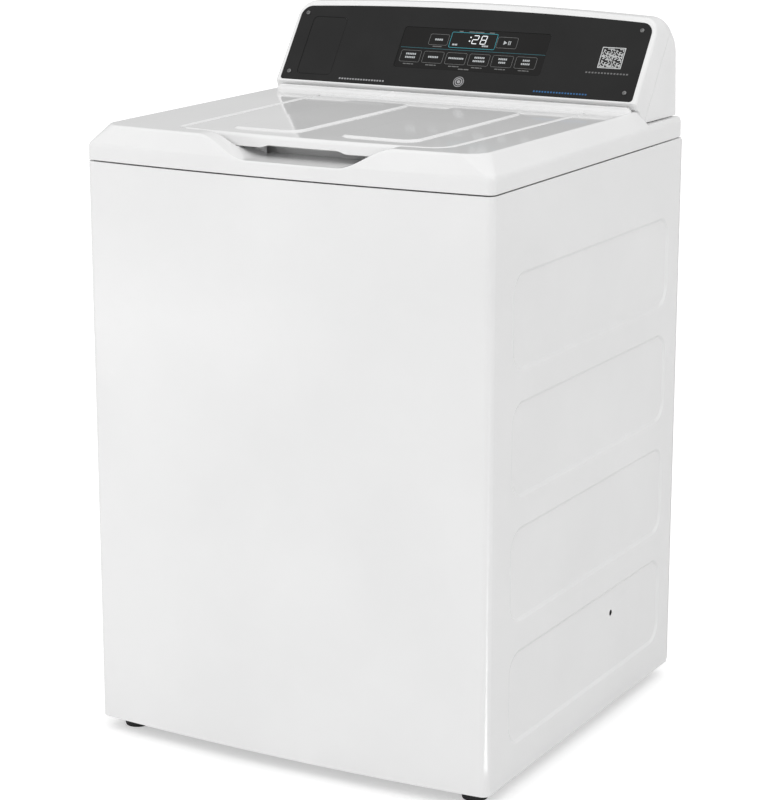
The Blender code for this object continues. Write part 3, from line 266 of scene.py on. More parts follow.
def lit_print(name, colour, strength):
    """Back-lit print on the display window."""
    made = surface(name, colour, colour, (0.35, 0.45), 200.0)
    shader = principled(made)
    shader.inputs["Emission Color"].default_value = (*colour, 1)
    shader.inputs["Emission Strength"].default_value = strength
    return made


LIT_WHITE = lit_print("lit_white", (0.75, 0.78, 0.80), 0.45)
LABEL_WHITE = lit_print("label_white", (0.42, 0.44, 0.45), 0.12)
LIT_TEAL = lit_print("lit_teal", (0.03, 0.30, 0.36), 0.22)


# Mesh helpers

def new_object(name, data):
    made = bpy.data.objects.new(name, data)
    bpy.context.scene.collection.objects.link(made)
    return made


def add_piece(name, mesh, material, body, replaced=()):
    piece = new_object(name, mesh)
    mesh.materials.clear()
    mesh.materials.append(material)
    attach(piece, body)
    if replaced:
        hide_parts(*replaced)
    return piece


def as_mesh(name, shape):
    mesh = bpy.data.meshes.new(name)
    shape.to_mesh(mesh)
    shape.free()
    return mesh


def to_mesh(name, shape, merge=0.00001, frame_matrix=None):
    bmesh.ops.remove_doubles(shape, verts=shape.verts, dist=merge)
    bmesh.ops.dissolve_degenerate(shape, edges=shape.edges, dist=merge / 4)
    bmesh.ops.recalc_face_normals(shape, faces=shape.faces)
    if frame_matrix:
        bmesh.ops.transform(shape, verts=shape.verts, matrix=frame_matrix)
    return as_mesh(name, shape)


def add_rows(shape, rows, closed=False):
    made = [[shape.verts.new(point) for point in row] for row in rows]
    for first, second in zip(made, made[1:]):
        count = len(first)
        for index in range(count if closed else count - 1):
            after = (index + 1) % count
            shape.faces.new((first[index], first[after], second[after], second[index]))


def add_polygon(shape, points):
    return shape.faces.new([shape.verts.new(point) for point in points])


def add_tube(shape, loops):
    """A closed solid through a row of outlines."""
    add_rows(shape, loops, closed=True)
    add_polygon(shape, loops[0])
    add_polygon(shape, loops[-1])


def distinct(points, gap=0.00002):
    kept = []
    for point in points:
        if not kept or (Vector(point) - Vector(kept[-1])).length > gap:
            kept.append(point)
    while (Vector(kept[0]) - Vector(kept[-1])).length < gap:
        kept.pop()
    return kept


def add_fill(shape, loops, normal):
    """Fills a flat outline, later loops as holes."""
    edges = []
    for loop in loops:
        made = [shape.verts.new(point) for point in distinct(loop)]
        for index, vert in enumerate(made):
            edges.append(shape.edges.new((vert, made[(index + 1) % len(made)])))
    bmesh.ops.triangle_fill(shape, edges=edges, use_beauty=True, normal=normal)


def polish(piece, angle=38, weighted=True):
    piece.data.shade_smooth()
    piece.data.set_sharp_from_angle(angle=math.radians(angle))
    if weighted:
        step = piece.modifiers.new("even_normals", "WEIGHTED_NORMAL")
        step.keep_sharp = True
    return piece


def smooth_piece(name, mesh, material, body, replaced, angle):
    """A piece with smooth faces and sharp edges above the angle."""
    return polish(add_piece(name, mesh, material, body, replaced), angle, weighted=False)


def at_height(outline, z):
    return [(x, y, z) for x, y in outline]


def circle(radius, steps, x=0.0, y=0.0):
    turns = [2 * math.pi * step / steps for step in range(steps)]
    return [(x + radius * math.cos(turn), y + radius * math.sin(turn)) for turn in turns]


def quarter_turns(steps, first=0):
    """Angles from 0 to 90 degrees."""
    return [math.pi / 2 * step / steps for step in range(first, steps + 1)]


def thicken(piece, thickness):
    step = piece.modifiers.new("wall", "SOLIDIFY")
    step.thickness = thickness
    step.offset = -1.0
    return piece


def cut(piece, cutter_mesh, place=None):
    """Cuts a shape out of a piece and applies the cut."""
    cutter = new_object("cutter", cutter_mesh)
    cutter.matrix_world = place or Matrix()
    step = piece.modifiers.new("cut", "BOOLEAN")
    step.operation = "DIFFERENCE"
    step.solver = "EXACT"
    step.object = cutter
    bpy.context.view_layer.update()
    graph = bpy.context.evaluated_depsgraph_get()
    made = bpy.data.meshes.new_from_object(piece.evaluated_get(graph))
    piece.modifiers.clear()
    piece.data = made
    bpy.data.objects.remove(cutter)
    return piece


def box_mesh(low, high, bevel=0.0):
    shape = bmesh.new()
    size = Vector(high) - Vector(low)
    middle = (Vector(high) + Vector(low)) / 2
    bmesh.ops.create_cube(shape, size=1, matrix=Matrix.Translation(middle) @ Matrix.Diagonal((*size, 1)))
    if bevel:
        bmesh.ops.bevel(shape, geom=shape.edges, offset=bevel, segments=3, profile=0.5, affect="EDGES")
    return as_mesh("box", shape)


def rounded_line(points, radii, steps):
    """Rounds the inner points of an open line; every corner gives steps + 1 points."""
    line = [Vector(points[0])]
    for index in range(1, len(points) - 1):
        here = Vector(points[index])
        before = Vector(points[index - 1]) - here
        after = Vector(points[index + 1]) - here
        reach = 0.46 * min(before.length, after.length)
        if reach < 0.00001:
            line += [here.copy() for _ in range(steps + 1)]
            continue
        before.normalize()
        after.normalize()
        half = before.angle(after) / 2
        back = min(radii[index - 1] / max(math.tan(half), 0.0001), reach)
        if half > math.radians(89):
            back = min(radii[index - 1], reach)
            for step in range(steps + 1):
                share = step / steps
                line.append(here + before * back * (1 - share) + after * back * share)
            continue
        centre = here + (before + after).normalized() * back / math.cos(half)
        start = here + before * back - centre
        end = here + after * back - centre
        turn = start.angle(end)
        for step in range(steps + 1):
            share = step / steps
            arm = start * math.sin((1 - share) * turn) + end * math.sin(share * turn)
            line.append(centre + arm / math.sin(turn))
    line.append(Vector(points[-1]))
    return line


def rounded_loop(corners, steps=ARC):
    """Rounds each (x, y, radius) corner of a closed outline."""
    points = []
    for index, (x, y, radius) in enumerate(corners):
        here = Vector((x, y))
        if radius <= 0:
            points.append((x, y))
            continue
        before = (Vector(corners[index - 1][:2]) - here).normalized()
        after = (Vector(corners[(index + 1) % len(corners)][:2]) - here).normalized()
        half = before.angle(after) / 2
        centre = here + (before + after).normalized() * radius / math.sin(half)
        start = here + before * radius / math.tan(half) - centre
        turn = start.angle_signed(here + after * radius / math.tan(half) - centre)
        for step in range(steps + 1):
            points.append(tuple(centre + Matrix.Rotation(-turn * step / steps, 2) @ start))
    return points


def rounded_box(x0, y0, x1, y1, radius, steps=ARC):
    return rounded_loop([(x0, y0, radius), (x1, y0, radius), (x1, y1, radius), (x0, y1, radius)], steps)


def between(start, end, count):
    """count values strictly between start and end."""
    return [start + (end - start) * (step + 1) / (count + 1) for step in range(count)]


# Plan outlines with a bowed front. Each is a list of columns: (x, y, inward x, inward y).

def bow_y(x, half, front, bow, centre):
    return front - bow * (1 - ((x - centre) / half) ** 2)


def bow_slope(x, half, bow, centre):
    return 2 * bow * (x - centre) / half ** 2


def front_corner(sign, halves, front, back, bow, radius, centre):
    """Centre of the corner arc and its two end angles, solved so that it is tangent to bow and side."""
    half, back_half = halves
    lean = (back_half - half) / (back - front)
    reach = half - radius
    for _ in range(12):
        slope = bow_slope(centre + reach, half, bow, centre)
        length = math.hypot(1, slope)
        centre_y = bow_y(centre + reach, half, front, bow, centre) + radius / length
        side_x = half + lean * (centre_y - front) - radius * math.hypot(1, lean)
        reach = side_x + radius * slope / length
    start = math.atan2(-1, slope)
    end = -math.atan(lean)
    return centre + sign * side_x, centre_y, start, end


def arc_columns(sign, corner, radius, steps):
    middle_x, middle_y, start, end = corner
    columns = []
    for step in range(steps + 1):
        angle = start + (end - start) * step / steps
        out_x = sign * math.cos(angle)
        out_y = math.sin(angle)
        columns.append((middle_x + radius * out_x, middle_y + radius * out_y, -out_x, -out_y))
    return columns


def u_outline(halves, front, back, bow, radii, centre, side_ys, straight):
    """Columns from the back of the left side, round the front, to the back of the right side."""
    half, back_half = halves
    lean = (back_half - half) / (back - front)
    right = arc_columns(1, front_corner(1, halves, front, back, bow, radii[0], centre), radii[0], ARC)
    left = arc_columns(-1, front_corner(-1, halves, front, back, bow, radii[1], centre), radii[1], ARC)
    xs = between(left[0][0], straight[0], 8) + list(straight) + between(straight[-1], right[0][0], 8)
    front_line = [(x, bow_y(x, half, front, bow, centre), 0.0, 1.0) for x in xs]
    sides = {}
    for sign in (-1, 1):
        sides[sign] = [(centre + sign * (half + lean * (y - front)), y, -sign, 0.0) for y in side_ys]
    return sides[-1][::-1] + left[::-1] + front_line + right + sides[1]


def with_back_corners(columns, centre, half, back, radius, steps, lip=None):
    """Adds the rounded back corners, and the inner lip behind them if there is one."""
    ends = []
    for sign in (-1, 1):
        turn = []
        for angle in quarter_turns(steps, 1):
            out_x = sign * math.cos(angle)
            out_y = math.sin(angle)
            turn.append((centre + sign * half + radius * out_x, back - radius + radius * out_y, -out_x, -out_y))
        if lip:
            turn.append((sign * lip, back, 0.0, -1.0))
        ends.append(turn)
    return ends[0][::-1] + columns + ends[1]


def share_of(low, high, value):
    return min(max((value - low) / (high - low), 0.0), 1.0)


def smooth_step(low, high, value):
    share = share_of(low, high, value)
    return share * share * (3 - 2 * share)


def ease(share):
    """Cosine rise from 0 to 1."""
    return (1 - math.cos(math.pi * share)) / 2


def round_off(share):
    """How far a quarter circle of radius 1 has fallen away, 0 to 1."""
    return 1 - math.sqrt(max(1 - share * share, 0.0))


# Cabinet wrap

def recess_loop(side, low_z, inset, depth):
    y0, y1 = RECESS_Y
    high_z = low_z + RECESS_HIGH - RECESS_LOW
    outline = rounded_box(y0 + inset, low_z + inset, y1 - inset, high_z - inset, RECESS_RADIUS - inset)
    return [(side * (HALF_WIDTH - depth), y, z) for y, z in outline]


def add_recess(shape, side, low_z, hole):
    steps = 10
    loops = []
    for step in range(steps + 1):
        share = step / steps
        loops.append(recess_loop(side, low_z, RECESS_SLOPE * share, RECESS_DEPTH * ease(share)))
    add_rows(shape, loops, closed=True)
    floor = [loops[-1]]
    if hole:
        y, z, radius = SIDE_HOLE
        x = side * (HALF_WIDTH - RECESS_DEPTH)
        floor.append([(x, hole_y, hole_z) for hole_y, hole_z in circle(radius, 32, y, z)])
    add_fill(shape, floor, (side, 0, 0))
    return loops[0]


def build_cabinet():
    back = CABINET_BACK
    side_ys = [-0.30, back - 0.003]
    columns = u_outline((HALF_WIDTH,) * 2, FRONT_Y, back, FRONT_BOW, (CORNER_RADIUS,) * 2, 0.0, side_ys,
                        between(-0.30, 0.30, 60))
    columns = with_back_corners(columns, 0.0, HALF_WIDTH - 0.003, back, 0.003, 6, HALF_WIDTH - FLANGE)
    hem = 0.0007
    levels = [(0.006, 0.0), (hem, 0.0), (0.0002, 0.0002), (0.0, hem)]
    levels = [(inset, CABINET_LOW + up) for inset, up in levels] + [
        (inset, CABINET_HIGH - down) for inset, down in levels[::-1]]
    rows = []
    for inset, z in levels:
        rows.append([(x + inset * nx, y + inset * ny, z) for x, y, nx, ny in columns])
    shape = bmesh.new()
    add_rows(shape, rows[:4])
    add_rows(shape, rows[4:])
    # The flat sides lie between the back corners and the front corners
    left = 7
    right = len(columns) - 9
    for part in (slice(0, left + 1), slice(left + 1, right + 1), slice(right + 1, len(columns))):
        add_rows(shape, [rows[3][part], rows[4][part]])
    for side, start in ((-1, left), (1, right)):
        low_a, low_b = rows[3][start], rows[3][start + 1]
        high_b, high_a = rows[4][start + 1], rows[4][start]
        holes = []
        for index in range(4):
            low_z = RECESS_LOW + index * RECESS_PITCH
            holes.append(add_recess(shape, side, low_z, hole=(side > 0 and index == 0)))
        add_fill(shape, [[low_a, low_b, high_b, high_a], *holes], (side, 0, 0))
    mesh = to_mesh("cabinet_wrap", shape)
    piece = add_piece("cabinet_wrap", mesh, ENAMEL, "casing", ["cabinet"])
    polish(thicken(piece, SHEET))


# Top cover

def scoop_height(x):
    return SCOOP_FLOOR + (DECK_Z - SCOOP_FLOOR) * ease(share_of(*SCOOP_HALF, abs(x - LID_X)))


def deck_height(x, y):
    if y > STEP_Y[0]:
        return DECK_Z + (STEP_Z - DECK_Z) * share_of(*STEP_Y, y)
    return scoop_height(x) if y < -0.2 else DECK_Z


def skirt_height(y):
    share = (y - FRONT_Y) / (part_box("rear_panel")[1][1] - FRONT_Y)
    return SKIRT_Z[0] + share * (SKIRT_Z[1] - SKIRT_Z[0])


COVER_SIDE_YS = [-0.26, -0.2, -0.1, 0.0, 0.1, 0.16, STEP_Y[0], 0.1945, 0.199, STEP_Y[1], 0.24, 0.30]


def edge_profile(deck, skirt):
    """Rounded section from the flat top over the sloping edge and down the skirt, for one column."""
    deck_x, deck_y, in_x, in_y = deck
    skirt_x, skirt_y, _, _ = skirt
    high = skirt_height(skirt_y)
    top = deck_height(deck_x, deck_y)
    share = min((DECK_Z - top) / (DECK_Z - high), 1.0)
    drop = (DECK_Z - top) / (DECK_Z - SCOOP_FLOOR)
    edge = Vector((deck_x + share * (skirt_x - deck_x), deck_y + share * (skirt_y - deck_y), top))
    inward = Vector((in_x, in_y, 0))
    crease = Vector((skirt_x, skirt_y, min(high, top - 0.007)))
    foot = Vector((skirt_x, skirt_y, COVER_LOW))
    radius = 0.0060 + drop * (0.0028 - 0.0060)
    line = rounded_line([edge + inward * 0.02, edge, crease, foot, foot + inward * 0.005],
                        [radius, 0.012, 0.0006], 8)
    return line[1:]


def recess_columns(grow):
    halves = (LID_HALF[0] + grow, LID_HALF[1] + grow)
    radii = (LID_RADII[0] + grow, LID_RADII[1] + grow)
    back = LID_Y[1] + grow
    corner = LID_RADII[2]
    lean = (halves[1] - halves[0]) / (back - (LID_Y[0] - grow))
    side_ys = [-0.24, -0.1, 0.0, 0.1, back - corner]
    columns = u_outline(halves, LID_Y[0] - grow, back, LID_BOW, radii, LID_X, side_ys, FRONT_COLUMNS)
    middle = halves[1] - lean * corner - corner
    return with_back_corners(columns, LID_X, middle, back, corner, 8)


def add_recess_walls(shape, hole):
    """Walls of the recess that the lid lies in. The finger slot is left open below the lid's front edge."""
    walls = []
    for x, y, in_x, in_y in hole:
        top = deck_height(x, y)
        if y < -0.2 and top < LEDGE_Z:
            y = SCOOP_BACK
        lip = 0.0040 + 0.0015 * smooth_step(-0.28, -0.24, y) - 0.0030 * smooth_step(0.10, 0.14, y)
        room = max(min(lip, (top - LEDGE_Z) * 0.45), 0.0)
        column = []
        for angle in quarter_turns(6):
            out = room * (1 - math.sin(angle))
            column.append((x - in_x * out, y - in_y * out, top - room * (1 - math.cos(angle))))
        column.append((x, y, LEDGE_Z))
        walls.append(column)
    add_rows(shape, walls + walls[:1])
    slot = []
    for face in shape.faces:
        at_back = all(abs(vert.co.y - SCOOP_BACK) < 0.0001 for vert in face.verts)
        if at_back and abs(face.calc_center_median().x - LID_X) < SLOT_HALF:
            slot.append(face)
    bmesh.ops.delete(shape, geom=slot, context="FACES_ONLY")
    return walls


def add_scoop(shape, walls, profiles):
    """Handle scoop, from the recess to the front edge, with its floor dished towards the front."""
    rows = []
    for wall, profile in zip(walls, profiles):
        start = Vector(wall[0])
        end = Vector(profile[0])
        drop = SCOOP_DISH * (DECK_Z - start.z) / (DECK_Z - SCOOP_FLOOR)
        crease = start.y + 0.52 * (end.y - start.y)
        row = []
        for share in (0.0, 0.2, 0.40, 0.46, 0.49, 0.52, 0.55, 0.58, 0.64, 0.82, 1.0):
            y = start.y + share * (end.y - start.y)
            dip = drop * (smooth_step(-0.003, 0.003, y - crease) - 1)
            row.append((start.x, y, start.z + (dip if y > crease and share < 1.0 else 0.0)))
        rows.append(row)
    add_rows(shape, rows)
    bottom = [Vector(row[0]) for row in rows if abs(row[0][0] - LID_X) < SLOT_HALF]
    add_rows(shape, [[(p.x, POCKET_BACK, p.z), tuple(p)] for p in bottom])
    return rows


def add_mouth(shape):
    """Rounded rim of the loading mouth."""
    x, y, half_x, half_y, radius = MOUTH
    rims = []
    for inset, z in ((-0.0025, LEDGE_Z), (-0.0018, LEDGE_Z - 0.0002), (-0.0007, LEDGE_Z - 0.0008),
                     (-0.0002, LEDGE_Z - 0.0018), (0.0, LEDGE_Z - 0.0025), (0.0, MOUTH_LOW + 0.0008),
                     (-0.0008, MOUTH_LOW)):
        outline = rounded_box(x - half_x + inset, y - half_y + inset, x + half_x - inset, y + half_y - inset,
                              radius - inset, 20)
        rims.append(at_height(outline, z))
    add_rows(shape, rims, closed=True)
    return rims[0]


def add_flats(shape, deck, profiles, inside):
    """Flat deck round the recess, then the slope, shelf and back wall under the console."""
    across = next(i for i, column in enumerate(deck) if column[1] >= STEP_Y[0] - 1e-9 and column[0] > 0)
    down = next(i for i, column in enumerate(deck) if column[1] >= STEP_Y[1] - 1e-9 and column[0] > 0)
    count = len(deck)
    first = front_start(deck)
    tops = [profile[0] for profile in profiles]
    outside = tops[first + len(FRONT_COLUMNS) - 1:across + 1] + tops[count - 1 - across:first + 1]
    add_fill(shape, [outside + inside], (0, 0, 1))
    add_fill(shape, [tops[across:down + 1] + tops[count - 1 - down:count - across]], (0, -0.8, 0.6))
    back_y = COVER_BACK - 0.001
    corners = [Vector((sign * tops[-1].x, back_y, STEP_Z)) for sign in (1, -1)]
    add_fill(shape, [tops[down:] + corners + tops[:count - down]], (0, 0, 1))
    wall = []
    for column in (profiles[0], profiles[-1]):
        moved = [Vector((p.x, back_y, p.z)) for p in column]
        add_rows(shape, [column, moved])
        wall.append(moved)
    add_fill(shape, [wall[0] + wall[1][::-1]], (0, 1, 0))


def front_start(columns):
    return next(i for i, column in enumerate(columns) if abs(column[0] - FRONT_COLUMNS[0]) < 1e-9)


def build_top_cover():
    deck = u_outline(DECK_HALF, DECK_FRONT, DECK_BACK, FRONT_BOW, (DECK_RADIUS,) * 2, 0.0, COVER_SIDE_YS,
                     FRONT_COLUMNS)
    skirt = u_outline((HALF_WIDTH,) * 2, FRONT_Y, COVER_BACK, FRONT_BOW, (CORNER_RADIUS,) * 2, 0.0,
                      COVER_SIDE_YS, FRONT_COLUMNS)
    profiles = [edge_profile(one, two) for one, two in zip(deck, skirt)]
    shape = bmesh.new()
    add_rows(shape, profiles)
    hole = recess_columns(LID_GAP)
    walls = add_recess_walls(shape, hole)
    first = front_start(hole)
    last = first + len(FRONT_COLUMNS)
    scoop = add_scoop(shape, walls[first:last], profiles[front_start(deck):])
    rim = [wall[0] for wall in walls]
    inside = scoop[0][::-1][1:-1] + rim[first::-1] + rim[:last - 2:-1] + scoop[-1][1:-1]
    add_flats(shape, deck, profiles, inside)
    strike = at_height(rounded_box(*STRIKE_SLOT, 0.002, 4), LEDGE_Z)
    add_fill(shape, [[wall[-1] for wall in walls], add_mouth(shape), strike], (0, 0, 1))
    mesh = to_mesh("cover_skin", shape)
    piece = add_piece("cover_skin", mesh, TOP_ENAMEL, "casing", ["top_cover"])
    thicken(piece, SHEET)
    turn = Matrix.Rotation(math.radians(90), 4, "Y")
    for x in (-0.223, 0.2685):
        rod = bmesh.new()
        bmesh.ops.create_cone(rod, cap_ends=True, segments=32, radius1=0.0031, radius2=0.0031, depth=0.026)
        cut(piece, to_mesh("pin_hole", rod), Matrix.Translation((x, *PIN_CENTRE)) @ turn)
    polish(piece, 42)


# Lid

def notch_lift(x):
    return 0.0042 * smooth_step(-0.054, -0.036, x) * (1 - smooth_step(0.076, 0.094, x))


def pad_loops(x0, x1):
    y0, y1 = PAD_Y
    loops = []
    steps = 8
    for step in range(steps + 1):
        inset = PAD_RUN * step / steps
        rise = (PAD_TOP - LID_TOP) * ease(step / steps)
        corners = [(x0 + inset, y0 + inset, 0.012), (x1 - inset, y0 + inset, 0.028 - inset),
                   (x1 - inset, y1 - inset, 0.012), (x0 + inset, y1 - inset, 0.012)]
        loops.append(at_height(rounded_loop(corners, 14), LID_TOP + rise))
    return loops


def build_lid():
    shape = bmesh.new()
    rows = []
    for x, y, in_x, in_y in recess_columns(0.0):
        front = 1 - smooth_step(-0.285, -0.262, y)
        low = LID_SKIRT + (LIP_Z - LID_SKIRT) * front + notch_lift(x) * front
        section = [(0.02, LID_TOP), (0.0, LID_TOP), (0.0, low), (0.003, low), (0.003, LID_TOP - 0.003)]
        line = rounded_line([Vector((x + in_x * inset, y + in_y * inset, z)) for inset, z in section],
                            [LID_EDGE, 0.0009, 0.0009], 6)
        rows.append(line[1:])
    add_rows(shape, rows + rows[:1])
    holes = []
    for x0, x1 in PADS:
        loops = pad_loops(x0, x1)
        add_rows(shape, loops, closed=True)
        add_polygon(shape, loops[-1])
        holes.append(loops[0])
    add_fill(shape, [[tuple(row[0]) for row in rows], *holes], (0, 0, 1))
    add_fill(shape, [[tuple(row[-1]) for row in rows]], (0, 0, -1))
    piece = add_piece("lid_skin", to_mesh("lid_skin", shape), TOP_ENAMEL, "lid", ["lid_panel"])
    polish(piece, 42)


# Console

def fascia_place():
    """Local X is world X, local Y runs up the fascia, local Z points out of it."""
    tilt = Matrix.Rotation(math.radians(90) - LEAN, 4, "X")
    return Matrix.Translation((0, FASCIA_Y, FASCIA_Z)) @ tilt


def console_section(x):
    base = CONSOLE_BASE
    corners = [
        (0.1890, 0.9668, 0.0008), (0.1915, 0.9668, 0.0008), (0.2070, base + 0.0016, 0.001),
        (CONSOLE_BACK, base + 0.0016, 0.002), (CONSOLE_BACK, 1.080, 0.030), (0.313, 1.1088, 0.022),
        (0.2766, 1.1092, 0.0085), (0.1833, 0.9774, 0.0014),
    ]
    turn = max(abs(x) - (CONSOLE_HALF - CONSOLE_CORNER), 0.0) / CONSOLE_CORNER
    drop = CONSOLE_CROWN * min(abs(x) / 0.317, 1.0) ** 2
    drop += CONSOLE_CORNER * round_off(turn)
    overrun = max(abs(x) - (CONSOLE_HALF - CONSOLE_EDGE), 0.0) / CONSOLE_EDGE
    scale = 1 - 0.05 * round_off(overrun)
    points = []
    for y, z in rounded_loop(corners, 8):
        share = max(z - CONSOLE_FOOT, 0.0) / (CONSOLE_TOP - CONSOLE_FOOT)
        forward = min((CONSOLE_BACK - y) / (CONSOLE_BACK - CONSOLE_CREST), 1.0)
        z -= drop * share
        y -= drop * share * forward * math.tan(LEAN)
        y = CONSOLE_MIDDLE + (y - CONSOLE_MIDDLE) * scale
        z = base + (z - base) * scale
        depth = max((y - FASCIA_Y) * math.cos(LEAN) - (z - FASCIA_Z) * math.sin(LEAN), 0.0)
        points.append((CONSOLE_X + x * (1 + CONSOLE_FLARE * depth), y, z))
    return points


def console_mesh():
    inner = CONSOLE_HALF - CONSOLE_CORNER
    ends = [CONSOLE_HALF - CONSOLE_CORNER * (1 - math.sin(angle)) for angle in quarter_turns(24)]
    xs = sorted({round(x, 7) for x in [-end for end in ends] + ends + between(-inner, inner, 30)})
    shape = bmesh.new()
    add_tube(shape, [console_section(x) for x in xs])
    return to_mesh("console", shape)


def build_curb():
    """Raised cove of the top cover that the front of the console sits behind."""
    low = DECK_Z - 0.0011
    section = [(0.1660, low)]
    for step in range(11):
        angle = math.radians(84) * step / 10
        section.append((0.1662 + 0.0095 * math.sin(angle), DECK_Z - 0.0002 + 0.0068 * (1 - math.cos(angle))))
    section += [(0.1762, 0.9711), (0.1768, 0.9714), (0.1815, 0.9714), (0.1820, 0.9709), (0.1820, low)]
    shape = bmesh.new()
    half = 0.3205
    xs = [(-half + 0.010 * (1 - math.cos(angle)), math.sin(angle)) for angle in quarter_turns(8)]
    middle = [(x, 1.0) for x in between(-half + 0.020, half - 0.020, 60)]
    xs = xs + middle + [(-x, lift) for x, lift in xs[::-1]]
    add_tube(shape, [[(x, y, low + (z - low) * max(lift, 0.02)) for y, z in section] for x, lift in xs])
    mesh = to_mesh("cover_curb", shape)
    polish(add_piece("cover_curb", mesh, WHITE_PLASTIC, "casing", ()), 40)


def fascia_outline(grow=0.0):
    top = []
    for step in range(23):
        share = 0.92 - 1.84 * step / 22
        top.append((share * FASCIA_HALF, FASCIA_HEIGHT + grow - FASCIA_CROWN * share * share, 0))
    side = FASCIA_HALF + grow
    corner = FASCIA_HEIGHT + grow - FASCIA_CROWN
    left = -side - FASCIA_LEFT
    low = [(left, -grow, 0.0055), (side, -grow, 0.0055)]
    return rounded_loop([*low, (side, corner, 0.019), *top, (left, corner, 0.019)])


def prism(outlines, low, high, edge=0.0):
    """A flat plate with the given outlines, later ones as holes; edge rounds the upper rim of the first."""
    shape = bmesh.new()
    outer, *holes = outlines
    rows = [at_height(outer, low)]
    inner = outer
    if edge:
        for angle in quarter_turns(4):
            inner = shifted(outer, edge * (1 - math.cos(angle)))
            rows.append(at_height(inner, high - edge * (1 - math.sin(angle))))
    else:
        rows.append(at_height(outer, high))
    add_rows(shape, rows, closed=True)
    for hole in holes:
        add_rows(shape, [at_height(hole, low), at_height(hole, high)], closed=True)
    add_fill(shape, [at_height(outline, high) for outline in (inner, *holes)], (0, 0, 1))
    add_fill(shape, [at_height(outline, low) for outline in outlines], (0, 0, -1))
    return shape


def shifted(points, distance):
    """Moves a closed anticlockwise outline inwards."""
    moved = []
    for index, point in enumerate(points):
        here = Vector(point)
        before = (here - Vector(points[index - 1])).normalized()
        after = (Vector(points[(index + 1) % len(points)]) - here).normalized()
        left_before = Vector((-before.y, before.x))
        left_after = Vector((-after.y, after.x))
        moved.append(tuple(here + (left_before + left_after) * distance / (1 + left_before.dot(left_after))))
    return moved


def build_console():
    pocket = to_mesh("pocket", prism([fascia_outline(0.0004)], -0.0028, 0.03))
    for name, node_name, waste_low, waste_high in (
            ("console_front", "console_shell", -0.5, CONSOLE_SPLIT + 0.00025),
            ("console_rear", "console_back", CONSOLE_SPLIT - 0.00025, 0.5)):
        piece = add_piece(name, console_mesh(), WHITE_PLASTIC, "casing", [node_name])
        cut(piece, box_mesh((-0.5, -0.5, waste_low), (0.5, 0.5, waste_high)), fascia_place())
        if name == "console_front":
            cut(piece, pocket, fascia_place())
        polish(piece, 30)


# Fascia print. Each zone is (underside, top, material slot) in the fascia's own frame.

ON_DISPLAY = (-0.0004, -0.0003, "display_black")
ON_FASCIA = (0.0, 0.00006, "fascia_black")
RAISED = (0.0, 0.0006, "fascia_black")


def plate_piece(name, outlines, low, high, edge, material, replaced):
    mesh = to_mesh(name, prism(outlines, low, high, edge), merge=FINE, frame_matrix=fascia_place())
    add_piece(name, mesh, material, "casing", [replaced])


def group_piece(name, plates, zone, material):
    """Many small flat prints in one piece."""
    low, high, slot = zone
    shape = bmesh.new()
    for outlines in plates:
        mesh = as_mesh("part", prism(outlines, low, high))
        shape.from_mesh(mesh)
        bpy.data.meshes.remove(mesh)
    mesh = to_mesh(name, shape, merge=FINE, frame_matrix=fascia_place())
    add_piece(name, mesh, material, "casing", ())


def bar(x0, v0, x1, v1):
    return [[(x0, v0), (x1, v0), (x1, v1), (x0, v1)]]


def frame_line(x0, v0, x1, v1, width, radius):
    outer = rounded_box(x0, v0, x1, v1, radius, 4)
    inner = rounded_box(x0 + width, v0 + width, x1 - width, v1 - width, max(radius - width, 0.0003), 4)
    return [outer, inner]


def dashes(x0, x1, v, height, pattern, gap=0.0009):
    """A broken bar that stands for a line of print."""
    total = sum(pattern)
    length = (x1 - x0 - gap * (len(pattern) - 1)) / total
    made = []
    x = x0
    for share in pattern:
        made.append(bar(x, v, x + length * share, v + height))
        x += length * share + gap
    return made


SEGMENTS = {
    "a": (0, 1, 1, 1), "b": (1, 1, 1, 0.5), "c": (1, 0.5, 1, 0), "d": (0, 0, 1, 0), "e": (0, 0.5, 0, 0),
    "f": (0, 1, 0, 0.5), "g": (0, 0.5, 1, 0.5),
}
DIGITS = {"2": "abged", "8": "abcdefg"}


def digit_bars(digit, x):
    """Leaning seven-segment numeral."""
    v, width, height, slant = 0.0858, 0.0092, 0.0148, 0.10
    made = []
    half = 0.0013 / 2
    for name in DIGITS[digit]:
        ax, av, bx, bv = SEGMENTS[name]
        ax, bx = ax * width, bx * width
        av, bv = av * height, bv * height
        if ax == bx:
            corners = [(ax - half, av - half * 0.6), (ax - half, bv + half * 0.6), (ax + half, bv + half * 0.6),
                       (ax + half, av - half * 0.6)]
        else:
            corners = [(ax + half * 0.6, av - half), (bx - half * 0.6, av - half), (bx - half * 0.6, av + half),
                       (ax + half * 0.6, av + half)]
        made.append([[(x + px + slant * pv, v + pv) for px, pv in corners]])
    return made


def shrunk(box, gap):
    return box[0] + gap, box[1] + gap, box[2] - gap, box[3] - gap


def build_fascia():
    display = (-0.116, 0.035, 0.150, 0.1107)
    blank = (-0.293, 0.0117, -0.228, 0.1205)
    openings = [rounded_box(*display, 0.005), rounded_box(*blank, 0.008)]
    plate_piece("fascia_plate", [fascia_outline(), *openings], -0.0025, 0.0, 0.0005, FASCIA_BLACK, "fascia")
    pane = rounded_box(*shrunk(display, 0.0003), 0.0047)
    plate_piece("display_pane", [pane], -0.0023, -0.00035, 0.0003, DISPLAY_BLACK, "display_window")
    cover = rounded_box(*shrunk(blank, 0.0004), 0.0076)
    plate_piece("reader_cover", [cover], -0.0023, -0.0001, 0.0006, FASCIA_BLACK, "reader_blank_plate")


